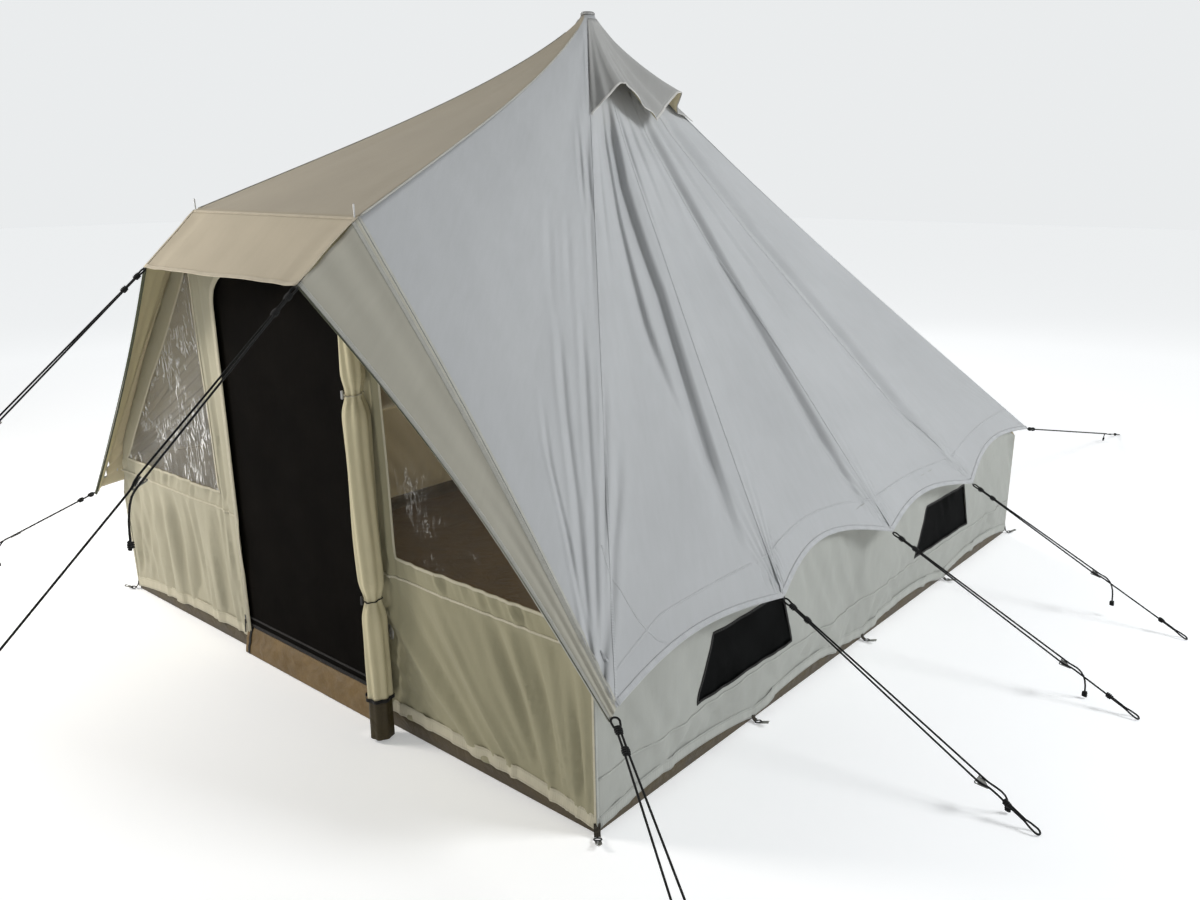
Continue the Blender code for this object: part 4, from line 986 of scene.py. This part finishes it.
def roof_height(x, y):
    """Height of the roof's even surface over a point beside or behind the apex."""
    heading = atan2(y - APEX_Y, abs(x))
    far = hypot(x, y - APEX_Y)
    columns = [(side_base(1, t), arch(t - 1) ** 2) for t in steps(1.0, 5.0, 60)]
    columns += [(back_base(s), arch(s)) for s in steps(0.0, 0.5, 20)]
    for (one, dip), (other, _) in zip(columns, columns[1:]):
        start, end = [atan2(p.y - APEX_Y, p.x) for p in (one, other)]
        if start <= heading <= end:
            base = one.lerp(other, (heading - start) / (end - start))
            reach = (far - APEX_RADIUS) / (hypot(base.x, base.y - APEX_Y) - APEX_RADIUS)
            return fan_point(base, reach, dip).z
    return fan_point(columns[0][0], 1.0).z


def hem_rise(share):
    """The side walls' lower edge: on the ground at its pegs and drawn up between them."""
    return 0.012 + 0.046 * abs(arch(share)) ** 0.7


def front_folds(x, z, side):
    """The front wall hangs in long folds below its band and is smoother above it."""
    low = clamp((FRONT_BAND - z) / 0.03)
    fall = arch(clamp(z / 0.66)) ** 0.5 * low
    if side > 0:
        turn = atan2(z + 0.40, 1.52 - x)
        far = hypot(1.52 - x, z + 0.40)
    else:
        turn, far = 1.15 * x - 0.10 * z, 0.8 * z
    depth = 0.045 * wobble(turn * 6.0, far * 0.9, 61.0) * fall
    depth += 0.052 * wobble(turn * 14.0, far * 1.3, 63.0) * fall
    depth += 0.018 * wobble(turn * 30.0, far * 2.0, 62.0) * fall
    corner = (WALL_OUT - x) / (0.022 + 0.085 * z)
    depth += 0.016 * cos(corner * pi) * bell(corner, 4.5) * low * min(1.0, z / 0.10)
    band = bell(z - 0.690, 0.034)
    depth += 0.040 * wobble(x * 30.0 + 12.0 * z, z * 6.0, 64.0) * band
    hem = bell(z - 0.095, 0.050)
    depth += 0.012 * wobble(x * 20.0 - 14.0 * z, z * 7.0, 66.0) * hem
    jamb = bell(x - DOOR_HALF - 0.06, 0.06) * (1 - low * 0.4)
    depth += 0.012 * cos((x - DOOR_HALF) * 2 * pi / 0.055 + 0.8 * wobble(z * 2.0, x, 65.0)) * jamb
    depth += 0.012 * wobble(x * 6.0, z * 2.5, 67.0)
    return min(depth, 0.35 * max(0.0, z - 0.095))


def make_front_walls():
    corner = WALL_OUT + 0.001
    edge = [p for p in slanted_edge() if p[0] < corner]
    last = (corner, roof_height(corner, FRONT_Y) - 0.006)
    panes = window_outline(0.006)
    for side, end in SIDES:
        start = DOOR_HALF if side > 0 else DOOR_HALF - 0.032
        foot = [(x, front_rise(x)) for x in steps(corner, start, 30)]
        outline = [(0.001, edge[0][1])] + edge + [last] + foot + jamb_line(side, foot[-1][1])[::-1][1:]

        def place(a, b):
            hold = corner_hold(corner - a) * (a > 0.02)
            depth = 0.0015 + 0.6 * front_folds(a, b, side) * hold
            if side < 0 and a < DOOR_HALF + 0.02:
                lap = 0.006 + 0.10 * min(max(0.0, DOOR_HALF - a), 0.08)
                depth = min(depth, -lap * clamp((1.74 - b) / 0.12))
            return front_place(side * a, b, depth)

        def clear(a, b):
            crumple = 0.006 * wobble(a * 9.0, b * 5.0, 71.0 * side) + 0.003 * wobble(a * 26.0, b * 12.0, 73.0)
            return front_place(side * a, b, 0.006 + crumple)

        # The right panel takes the darker copy of the panel cloth, whose tone paints its shade
        sheet = cut("front_sheet_" + end, [outline, window_outline()], (0.014, 0.022), place,
                    PANEL_PAINTED_SHADE if side > 0 else PANEL, ["front_wall_" + end], lining=INNER)
        pane = cut("window_film_" + end, [window_outline(0.012)], (0.020, 0.020), clear,
                   FILM if side > 0 else FILM_CREASED_PAINTED_GLINTS, ["window_" + end], THIN)
        cut_sheet(pane)
        hems = Bands()
        hems.sew(place, dense(panes + panes[:1], 40), FRONT_OUT, 0.012, HEM_THICK, True)
        band = [(x, FRONT_BAND + 0.004 * wobble(x * 5, 1, 1)) for x in steps(start + 0.01, corner - 0.01, 90)]
        hem_line = [(x, front_rise(x) + 0.026) for x in steps(start + 0.012, corner - 0.006, 120)]
        jamb = [(a + 0.018, b) for a, b in jamb_line(side, 0.08)[1:]]
        seam = [(corner - 0.006, z) for z in steps(front_rise(corner) + 0.01, last[1] - 0.01, 40)]
        for line, width, thick in ((band, 0.010, 0.0014), (hem_line, 0.052, 0.0013), (jamb, 0.026, 0.0018),
                                   (seam, SEAM, 0.0012)):
            hems.sew(place, line, FRONT_OUT, width, thick)
        cut_sheet(sheet, [hems.show("front_hems_" + end, PALE_HEM)])


def vent_centres():
    return (FRONT_Y + BAY - VENT_FORWARD, FRONT_Y + (BAY_COUNT - 1) * BAY - VENT_FORWARD)


def vent_outline(centre, grow=0.0):
    low, high = VENT_BOTTOM - grow, VENT_TOP + grow
    bottom, top = VENT_BOTTOM_HALF + grow, VENT_TOP_HALF + grow
    return [(centre - bottom, low), (centre + bottom, low), (centre + top, high), (centre - top, high)]


def side_fold(y, z, side):
    """Slanting pulls towards the pegs along the foot of the side walls, and slack above."""
    near = exp(-z / 0.18)
    share = (y - FRONT_Y) / BAY
    depth = 0.050 * wobble(y * 6.0 + 5 * z, z * 4.0, 81.0 * side) * near
    depth += 0.028 * wobble(y * 17.0 - 9 * z, z * 8.0, 82.0 * side) * near
    depth += 0.022 * wobble(y * 3.0, z * 3.0, 83.0 * side)
    depth += 0.014 * wobble(y * 13.0 + 8 * z, z * 3.0, 85.0 * side)
    depth = max(depth, -0.35 * max(0.0, z - 0.092))
    for centre in vent_centres():
        depth *= 1.0 - 0.85 * bell(max(0.0, abs(y - centre) - 0.30), 0.10) * bell(z - 0.36, 0.16)
    return depth * (0.5 + 0.5 * abs(arch(share))) * corner_hold(y - FRONT_Y) * corner_hold(BACK_Y - y)


def tuck(y):
    """How far a side wall's top leans in at the last bay, where the eave hangs inside the wall's plane."""
    return TUCK * clamp((y - BACK_Y + TUCK_REACH) / 0.22) * clamp((BACK_Y - 0.001 - y) / 0.03)


def make_side_walls():
    low, high = FRONT_Y - 0.001, BACK_Y - 0.001
    top = [(y, roof_height(WALL_OUT - tuck(y), y) - 0.005) for y in steps(low, high, 96)]
    foot = [(y, hem_rise((y - low) / BAY)) for y in steps(high, low, 96)]
    holes = [vent_outline(centre) for centre in vent_centres()]
    for side, end in SIDES:
        def place(a, b):
            lean = FRONT_LEAN * b * exp(-(a - low) / 0.10)
            out = WALL_OUT + side_fold(a, b, side) - tuck(a) * clamp((b - 0.42) / 0.14)
            return Vector((side * out, a - lean, b))

        def net(a, b):
            ripple = 0.008 * cos(a * 60 + 40 * b) * wobble(a * 4, b * 3, 91.0)
            return Vector((side * (WALL_OUT - 0.004 + 0.6 * side_fold(a, b, side) + ripple), a, b))

        sheet = cut("side_sheet_" + end, [top + foot] + holes, (0.022, 0.020), place, WALL,
                    ["side_wall_" + end], lining=INNER)
        hems, tapes = Bands(), Bands()
        out = Vector((side, 0, 0))
        hem_line = [(y, hem_rise((y - low) / BAY) + 0.024) for y in steps(low + 0.01, high - 0.01, 190)]
        band = [(y, SIDE_BAND + 0.006 * wobble(y * 2, 0, 2)) for y in steps(low + 0.01, high - 0.01, 150)]
        seam = [(low + 0.006, z) for z in steps(0.02, top[0][1] - 0.01, 40)]
        for line, width, thick in ((hem_line, 0.046, 0.0026), (band, 0.010, 0.0014), (seam, SEAM, 0.0012)):
            hems.sew(place, line, out, width, thick)
        for centre, where in zip(vent_centres(), ("front", "rear")):
            mesh = cut("vent_net_" + end + "_" + where, [vent_outline(centre, 0.012)], (0.03, 0.03), net,
                       VENT_NET, ["vent_" + end + "_" + where], THIN)
            cut_sheet(mesh)
            corners = vent_outline(centre, 0.003)
            tapes.sew(place, dense(corners + corners[:1], 24), out, SEAM, 0.0012, True)
            bow = [(centre - VENT_BOW * cos(a), VENT_BOTTOM + (VENT_TOP + 0.045 - VENT_BOTTOM) * sin(a))
                   for a in steps(0.0, pi, 40)]
            tapes.sew(place, bow, -out, SEAM, 0.0012, lift=0.004)
        cut_sheet(sheet,
                  [hems.show("side_hems_" + end, WALL_HEM), tapes.show("vent_tapes_" + end, ZIP)])


def make_back_wall():
    half = WALL_OUT + 0.001
    top = [(x, roof_height(x, BACK_Y) - 0.005) for x in steps(-half, half, 60)]

    def rise(x):
        return hem_rise((x + half) / (2 * half) * 3)

    def place(a, b):
        fold = 0.018 * wobble(a * 5.0, b * 1.5, 95.0) + 0.009 * wobble(a * 14.0, b * 2.0, 97.0)
        fold = max(fold, -0.7 * max(0.0, b - 0.092))
        return Vector((a, BACK_Y - 0.0015 + 0.5 * fold * corner_hold(half - abs(a)), b))

    foot = [(x, rise(x)) for x in steps(half, -half, 60)]
    sheet = cut("back_sheet", [top + foot], (0.030, 0.026), place, WALL, ["back_wall"], lining=INNER)
    hems = Bands()
    for above, width in ((0.024, 0.046), (0.150, 0.010)):
        line = [(x, rise(x) + above) for x in steps(-half + 0.01, half - 0.01, 140)]
        hems.sew(place, line, Vector((0, 1, 0)), width, 0.0020)
    cut_sheet(sheet, [hems.show("back_hems", WALL_HEM)])


# Floor, sill and pegs
def make_floor():
    half = WALL_OUT - 0.0055
    front, back = FRONT_Y + 0.0035, BACK_Y - 0.0045
    corners = [(-half, front), (half, front), (half, back), (-half, back), (-half, front)]
    loop = [spot for i in range(4) for spot in dense(corners[i:i + 2], 72 if i % 2 else 60)]
    levels = [(1.0, TUB_HEIGHT), (1.0, 0.045), (1.0, 0.004), (0.996, FLOOR_SHEET - 0.001)]
    levels += [(scale, FLOOR_SHEET) for scale in (0.90, 0.70, 0.45, 0.2)]
    points, uvs = [], []
    for scale, z in levels:
        for x, y in loop:
            spot = Vector((x, y)) * scale
            rise = 0.004 * abs(wobble(spot.x * 3, spot.y * 3, 99.0)) if scale < 0.95 else 0.0
            points.append(Vector((spot.x, spot.y, z + rise)))
            beside = abs(abs(x) - half) < 1e-6
            uvs.append((spot.x + copysign(z, x) * beside, spot.y + copysign(z, y) * (not beside)))
    points.append(Vector((0, 0, FLOOR_SHEET)))
    uvs.append((0.0, 0.0))
    count, inner = len(loop), len(loop) * (len(levels) - 1)
    faces = ring_faces(count, len(levels))
    faces += [(inner + i, inner + (i + 1) % count, len(points) - 1) for i in range(count)]
    sheet = show("floor_tub", points, faces, FLOOR, uvs, thickness=0.0012, stands_for=["groundsheet"])
    # Faces of the tub's walls, above the floor, take the darker copy of the floor vinyl, which paints their
    # shade
    sheet.data.materials.append(TUB_PAINTED_SHADE)
    for face in sheet.data.polygons:
        face.material_index = int(face.center.z > 0.02)
    cut_sheet(sheet)


def make_sill():
    left, right = 0.004 - DOOR_HALF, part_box("door_sill")[1].x
    out = Vector((0, -0.8, 0.5))

    def surface(share, down):
        x = left + (right - left) * share
        top = Vector((x, FRONT_Y - FRONT_LEAN * SILL_HEIGHT + 0.001, SILL_HEIGHT))
        foot = Vector((x, FRONT_Y - SILL_REACH, 0.002))
        bulge = 0.008 + 0.010 * wobble(share * 7, down * 2, 101.0)
        bulge += 0.005 * wobble(share * 22 + down, down * 4, 102.0)
        return top.lerp(foot, down) + out * (bulge * arch(down))

    sheet = grid("sill_sheet", surface, shares(90), shares(18), SILL, ["door_sill"], 0.0015)
    cut_sheet(sheet)
    strap = Bands()
    path = [surface(0.030, d) + out * 0.002 for d in shares(10)]
    strap.add(path, [out.normalized()] * len(path), 0.016, 0.0016)
    strap.show("sill_strap", ZIP)


def peg_spots():
    """Each peg point's place on the ground and the way out from it."""
    return [(Vector((side * WALL_OUT, FRONT_Y + BAY * station, 0.0)),
             Vector((side, (station == BAY_COUNT) - (station == 0), 0)).normalized())
            for side, _ in SIDES for station in range(BAY_COUNT + 1)]


def make_pegs():
    straps, pegs, up = Bands(), [], Vector((0, 0, 1))
    for number, (spot, out) in enumerate(peg_spots(), 1):
        path = [spot + out * far + up * high for far, high in PEG_STRAP]
        lean = (out * 0.9 + up * 0.45).normalized()
        straps.add(path, [out, lean, lean, up], 0.022, 0.002)
        centre = spot + out * 0.029 + up * 0.008
        aside = out.cross(up)
        loop = [centre + (out * cos(a) + aside * 1.15 * sin(a)) * 0.011
                + up * 0.003 * cos(a) for a in steps(0.0, 2 * pi, 20)[:-1]]
        tube("peg_ring_" + str(number), loop, 0.0026, BLACK, closed=True)
        pegs.append(("peg_" + str(number), centre + out * 0.004, out))
    straps.show("peg_straps", WEBBING)
    for peg in pegs:
        make_peg(*peg)


def make_peg(name, spot, out):
    """The head of a folded steel peg, leaning away from the tent, with a hole near its top."""
    up = Vector((0, 0, 1))
    aside = out.cross(up)
    rise = (up * 0.35 + out * 0.94).normalized()
    face = rise.cross(aside).normalized()
    points = [spot + rise * PEG_LENGTH * i / 8 + aside * PEG_HALF * share + face * 0.006 * (1 - abs(share))
              for i in range(9) for share in steps(-1.0, 1.0, 8)]
    faces = [(a, a + 1, a + 10, a + 9) for a in range(71)
             if a % 9 < 8 and not (a // 9 in PEG_HOLE and a % 9 in PEG_HOLE)]
    made = show(name, points, faces, ZINC, smooth=False, thickness=0.002)
    made.modifiers["thickness"].offset = -1.0
    made.modifiers.new("edges", "BEVEL").width = 0.0005


# Door
def make_door():
    outline = door_outline(-0.002, DOOR_BOTTOM)[1:]
    line = outline + [(-x, z) for x, z in outline][::-1]

    def place(a, b):
        slack = arch((a + DOOR_HALF) / (2 * DOOR_HALF)) * arch((b - 0.12) / 1.6)
        fold = 0.5 + 0.5 * wobble(a * 5.0, b * 0.9, 111.0)
        pulls = 0.004 * cos((a + DOOR_HALF) * 90 + 3.0 * b) * bell(a + DOOR_HALF - 0.06, 0.06)
        return front_place(a, b, 0.0016 + 0.010 * fold * max(slack, 0.0) + abs(pulls) * max(slack, 0.0))

    sheet = cut("door_net", [line], (0.02, 0.04), place, DOOR_NET, ["mesh_door"], THIN, body="door")
    rim = Bands()
    edge = [place(a * 0.985, b) + FRONT_OUT * 0.001 for a, b in line]
    rim.add(edge, [FRONT_OUT] * len(line), 0.014, 0.0012)
    for rise in (0.008, 0.040):
        foot = [(x, DOOR_BOTTOM + rise) for x in steps(-DOOR_HALF + 0.01, DOOR_HALF - 0.01, 40)]
        rim.sew(place, foot, FRONT_OUT, 0.010, 0.0014, lift=0.001)
    cut_sheet(sheet, [rim.show("door_net_tape", ZIP, "door")])
    tape, pull = Bands(), Bands()
    half = door_outline(0.004, 0.05)[1:]
    tape.sew(lambda a, b: front_place(a, b, -0.0014), [(-x, z) for x, z in half][::-1] + half, FRONT_OUT,
             0.012, 0.0014, lift=0.0)
    tape.show("door_zip_tape", ZIP, stands_for=["door_zip"])
    low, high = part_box("zip_slider")
    middle = (low + high) / 2
    path = [Vector((middle.x, low.y - 0.001 - 0.004 * s, middle.z - 0.060 * s)) for s in shares(8)]
    pull.add(path, [FRONT_OUT] * len(path), 0.009, 0.0014)
    pull.show("zip_pull", ZIP, "slider")


def ray(angle):
    return Vector((cos(angle), sin(angle), 0))


def make_roll():
    """The outer door, wound up loosely at the right jamb, tied twice and ending in floor sheet."""
    def centre(z):
        hang = max(0.0, (0.60 - z) / 0.60)
        return front_place(ROLL_CENTRE + ROLL_ASIDE + 0.025 * hang, z, -ROLL_STAND - 0.030 * hang ** 1.3)

    def angle_of(turn):
        return 2 * pi * (turn * ROLL_TURNS + ROLL_START)

    def far_of(turns, z, angle, whole):
        """The winding grows by one cloth's pitch each turn, and its folds grow with it."""
        grown = ROLL_CORE + (1.0 - ROLL_CORE) * turns / ROLL_TURNS
        base = 0.047 - 0.010 * max(0.0, (z - 1.25) / 0.40)
        for tie in TIES:
            base -= 0.017 * bell(z - tie, 0.045)
        twist = 0.5 * z + 0.4 * wobble(z * 1.6, 0, 123.0)
        folds = 0.0045 * cos(7 * (angle + twist))
        folds += 0.007 * wobble(cos(angle) * 1.3, sin(angle) * 1.3, z * 3.0)
        return grown * (base + 0.002 * wobble(z * 6.0, 0, 121.0) + 0.8 * folds * whole)

    def surface(turn, z):
        angle = angle_of(turn)
        return centre(z) + ray(angle) * far_of(turn * ROLL_TURNS, z, angle, 1.0)

    def lower(turn, z):
        angle = angle_of(turn)
        far = 0.96 * far_of(turn * ROLL_TURNS, ROLL_SPLIT, angle, 0.5)
        far += 0.002 * wobble(cos(angle), sin(angle), z * 9) * turn
        return centre(z) + ray(angle) * far

    sheet = grid("door_cloth_roll", surface, shares(72 * ROLL_TURNS), steps(ROLL_SPLIT, ROLL_TOP, 120),
                 ROLL, ["door_roll"], ROLL_CLOTH)
    # Its foot takes the darker copy of the floor vinyl, which paints the shade there
    end = grid("door_hem_roll", lower, shares(60 * ROLL_TURNS), steps(ROLL_FOOT, ROLL_SPLIT, 16), ROLL_END_PAINTED_SHADE,
               ["door_roll_end"], ROLL_CLOTH)
    bands = Bands()
    angles = [angle_of(turn) for turn in steps(1.0 - 1.0 / ROLL_TURNS, 1.0, 60)[:-1]]
    ups = [ray(angle) for angle in angles]
    high = ROLL_SPLIT + 0.004
    path = [centre(high) + up * (far_of(ROLL_TURNS, high, angle, 1.0) + 0.001)
            for up, angle in zip(ups, angles)]
    bands.add(path, ups, 0.014, 0.002, True)
    trims = [bands.show("roll_elastic", ZIP)]
    for z, name, look, toggle, half in ((TIES[0], "lower", CORD_LOOK, BLACK, 0.018),
                                        (TIES[1], "upper", PALE_HEM, TAN_CAP, 0.016)):
        loop = [centre(z) + ray(angle) * (far_of(ROLL_TURNS, z, angle, 1.0) + 0.002)
                + Vector((0, 0, 0.006 * sin(angle))) for angle in angles]
        trims.append(tube("roll_loop_" + name, loop, 0.0022, look, stands_for=["roll_tie_" + name],
                          closed=True))
        low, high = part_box("roll_toggle_" + name)
        middle = (low + high) / 2 + centre(z) - front_place(ROLL_CENTRE, z, -ROLL_STAND)
        middle = middle.lerp(Vector((*centre(z).xy, middle.z)), 0.22)
        trims.append(make_toggle("roll_peg_" + name, middle, half, "roll_toggle_" + name, toggle))
    cut_sheet(sheet, trims)
    cut_sheet(end)


def make_toggle(name, middle, half, node, look):
    """A waisted toggle with domed ends."""
    points = []
    for share in steps(-1.0, 1.0, 16):
        far = 0.0052 * sqrt(max(0.0, 1 - share ** 8)) * (0.82 + 0.18 * share ** 2) + 0.0004
        points += [middle + ray(2 * pi * i / 16) * far + Vector((0, 0, share * half)) for i in range(16)]
    faces = ring_faces(16, 17) + [tuple(range(15, -1, -1)), tuple(range(len(points) - 16, len(points)))]
    return show(name, points, faces, look, stands_for=[node])


# Cords
def guy_list():
    """A name, the place at the tent, how far off the cloth, the peg, and the runner's share of the length."""
    guys = []
    for side, end in SIDES:
        start = Vector((side * VISOR_HALF, RIDGE_Y - VISOR_REACH, RIDGE_HEIGHT - VISOR_DROP + 0.0015))
        guys.append(("visor_" + end, start, VISOR_SEAT, (side * VISOR_PEG[0], FRONT_Y + VISOR_PEG[1]), 0.300))
        start = guy_point(side, 0).lerp(strip_tip(side), 0.5)
        guys.append(("corner_" + end, start, CORNER_SEAT, (side * CORNER_PEG[0], FRONT_Y + CORNER_PEG[1]),
                     0.520))
    for station, (x, drift), share in zip((1, 2, 3), EAVE_PEGS, (0.800, 0.725, 0.600)):
        peg = (x, FRONT_Y + BAY * station + drift)
        guys.append(("eave_" + str(station), guy_point(1, station), EAVE_SEAT, peg, share))
    guys.append(("rear_right", guy_point(1, BAY_COUNT), TIP_SEAT, (REAR_PEG[0], BACK_Y + REAR_PEG[1]), 0.860))
    return guys


def guy_route(length, runner, drop):
    """The route as (along, across, down): tail, a strand up, the loop at the tent, and down to the peg."""
    s, r, near = STRAND_HALF, TURN_RADIUS, STRAND_CLOSE
    merge, eye = runner + MERGE_LENGTH, length - EYE_LENGTH
    tail, aside = runner + TAIL_LENGTH, -s - TAIL_ASIDE
    return [
        (tail, aside, drop), (tail - 0.002, aside + 0.001, 0.6 * drop),
        (tail - 0.013, aside + 0.006, 0.22 * drop), (tail - 0.040, -s - 0.010, 0),
        (runner + 0.012, -s - 0.001, 0), (runner - 0.020, -s, 0), (KNOT_FAR, -near, 0), (KNOT_NEAR, -near, 0),
        (r, -r, 0), (0.3 * r, -0.71 * r, 0), (0, 0, 0), (0.3 * r, 0.71 * r, 0), (r, r, 0),
        (KNOT_NEAR, near, 0), (KNOT_FAR, near, 0), (runner - 0.020, s, 0), (runner + 0.002, 0.7 * s, 0),
        (merge - 0.020, 0.15 * s, 0), (merge, 0, 0), (eye - 0.020, 0, 0), (eye + 0.010, EYE_CLOSE, 0),
        (length - EYE_OPENING, EYE_CLOSE, 0), (length - r, r, 0), (length - 0.3 * r, 0.71 * r, 0),
        (length, 0, 0), (length - 0.3 * r, -0.71 * r, 0), (length - r, -r, 0),
        (length - EYE_OPENING, -EYE_CLOSE, 0), (eye + 0.006, -EYE_CLOSE - 0.003, 0)]


def headings(points):
    """Each point's direction, leaning to its shorter side."""
    stretches = [b - a for a, b in zip(points, points[1:])]
    found = [stretches[0].normalized()]
    for one, other in zip(stretches, stretches[1:]):
        found.append((one.normalized() * other.length + other.normalized() * one.length)
                     / (one.length + other.length))
    return found + [stretches[-1].normalized()]


def smooth_line(points, limit):
    """The points with one more in the middle of each stretch shorter than the limit."""
    made = [points[0]]
    ways = headings(points)
    for a, b, leaving, reaching in zip(points, points[1:], ways, ways[1:]):
        size = (b - a).length
        if size < limit:
            made.append((a + b) / 2 + (leaving - reaching) * size / 8)
        made.append(b)
    return made


def make_knot(name, centre, along, across, normal, wide):
    """Three tight wraps round the strands, then one that crosses them."""
    points = []
    for i in range(57):
        turn = i / 56
        angle = 2 * pi * 3.5 * turn
        swell = 1 + 0.25 * arch(turn)
        offset = across * cos(angle) * (wide + CORD) * swell + normal * sin(angle) * 1.9 * CORD * swell
        points.append(centre + along * (turn - 0.5) * 0.024 + offset)
    return tube(name, points, 0.92 * CORD, CORD_LOOK)


def length_of(points):
    return sum((b - a).length for a, b in zip(points, points[1:]))


def make_guys():
    for name, edge, seat, peg, share in guy_list():
        peg = Vector((*peg, GROUND))
        along = (peg - edge).normalized()
        across = along.cross(Vector((0, 0, 1))).normalized()
        normal = across.cross(along).normalized()
        start = edge + along * seat
        length = (peg - start).length
        runner = share * length
        drop = min(TAIL_DROP, (start + along * (runner + TAIL_LENGTH)).z - TAIL_CLEAR)
        spots = [start + along * a + across * b + Vector((0, 0, -c))
                 for a, b, c in guy_route(length, runner, drop)]
        route = smooth_line(spots, EYE_OPENING)
        cord = tube("line_" + name, route, CORD, CORD_LOOK, stands_for=["guy_" + name])
        knots = [make_knot("knot_" + label + "_" + name, start + along * spot, along, across, normal, wide)
                 for label, spot, wide in (("near", KNOT_NEAR, 0.005), ("far", KNOT_FAR, 0.005),
                                           ("eye", length - EYE_LENGTH, 0.003))]
        hang = (route[0] - route[1]).normalized()
        knots.append(make_knot("knot_tail_" + name, route[0], hang, across, across.cross(hang).normalized(),
                               0.0))
        tuple(route[0])
        length_of(route)


# Fittings that keep their solids
def dress_nodes():
    """The looks of the solids that show as they are."""
    looks = (("runner_", DULL), ("pole_foot", BLACK), ("zip_slider", BLACK), ("pole", ALLOY),
             ("apex_cap", GREY_CAP))
    for name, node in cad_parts.items():
        look = next((look for word, look in looks if word in name), None)
        if look:
            node.data.materials.clear()
            node.data.materials.append(look)


# Camera, floor and light
def make_camera():
    data = bpy.data.cameras.new("camera")
    data.lens = CAMERA_LENS
    data.sensor_width = 36.0
    data.clip_end = 200.0
    camera = bpy.data.objects.new("camera", data)
    camera.location = CAMERA_PLACE
    camera.rotation_euler = [radians(a) for a in CAMERA_TURN]
    link(camera)
    bpy.context.scene.camera = camera


def make_light(name, place, target, size, power, colour):
    data = bpy.data.lights.new(name, "AREA")
    data.size = size
    data.energy = power
    data.color = colour
    light = bpy.data.objects.new(name, data)
    light.location = place
    light.rotation_euler = (Vector(target) - Vector(place)).to_track_quat("-Z", "Y").to_euler()
    light.visible_camera = False
    link(light)


def make_world():
    """A pale studio, brightest round the horizon."""
    world = bpy.data.worlds.new("studio")
    world.use_nodes = True
    tree = world.node_tree
    place = tree.nodes.new("ShaderNodeTexCoord")
    split = tree.nodes.new("ShaderNodeSeparateXYZ")
    ramp = tree.nodes.new("ShaderNodeValToRGB")
    tree.links.new(place.outputs["Generated"], split.inputs["Vector"])
    tree.links.new(split.outputs["Z"], ramp.inputs["Fac"])
    tree.links.new(ramp.outputs["Color"], tree.nodes["Background"].inputs["Color"])
    for element, (spot, level) in zip(ramp.color_ramp.elements, ((0.16, 0.84), (0.42, 0.24))):
        element.position = spot
        element.color = (0.98 * level, level, 1.01 * level, 1.0)
    bpy.context.scene.world = world


def make_studio():
    look = Look("studio_floor", (0.88, 0.88, 0.88), 0.9, specular=0.0)
    look.shader.inputs["Emission Color"].default_value = (0.98, 1.0, 1.01, 1.0)
    far_off = look.node("ShaderNodeVectorMath", [(0, look.place("Object"))],
                        operation="LENGTH").outputs["Value"]
    glow = [("Value", far_off), ("From Min", 2.5), ("From Max", 9.0), ("To Min", 0.30), ("To Max", 0.60)]
    look.feed("Emission Strength", look.node("ShaderNodeMapRange", glow).outputs["Result"])
    mesh = bpy.data.meshes.new("studio_floor")
    corners = [(x * STAGE_REACH, y * STAGE_REACH, 0) for x, y in ((-1, -1), (1, -1), (1, 1), (-1, 1))]
    mesh.from_pydata(corners, [], [(0, 1, 2, 3)])
    mesh.materials.append(look.material)
    floor = bpy.data.objects.new("studio_floor", mesh)
    floor.location.z = -0.001
    link(floor)
    make_world()
    for light in LIGHTS:
        make_light(*light)
    bpy.context.scene.view_settings.view_transform = "Standard"


def main():
    make_camera()
    make_guys()
    make_roof()
    make_hood()
    make_visor()
    make_front_walls()
    make_side_walls()
    make_back_wall()
    make_floor()
    make_sill()
    make_pegs()
    make_door()
    make_roll()
    dress_nodes()
    make_studio()


main()
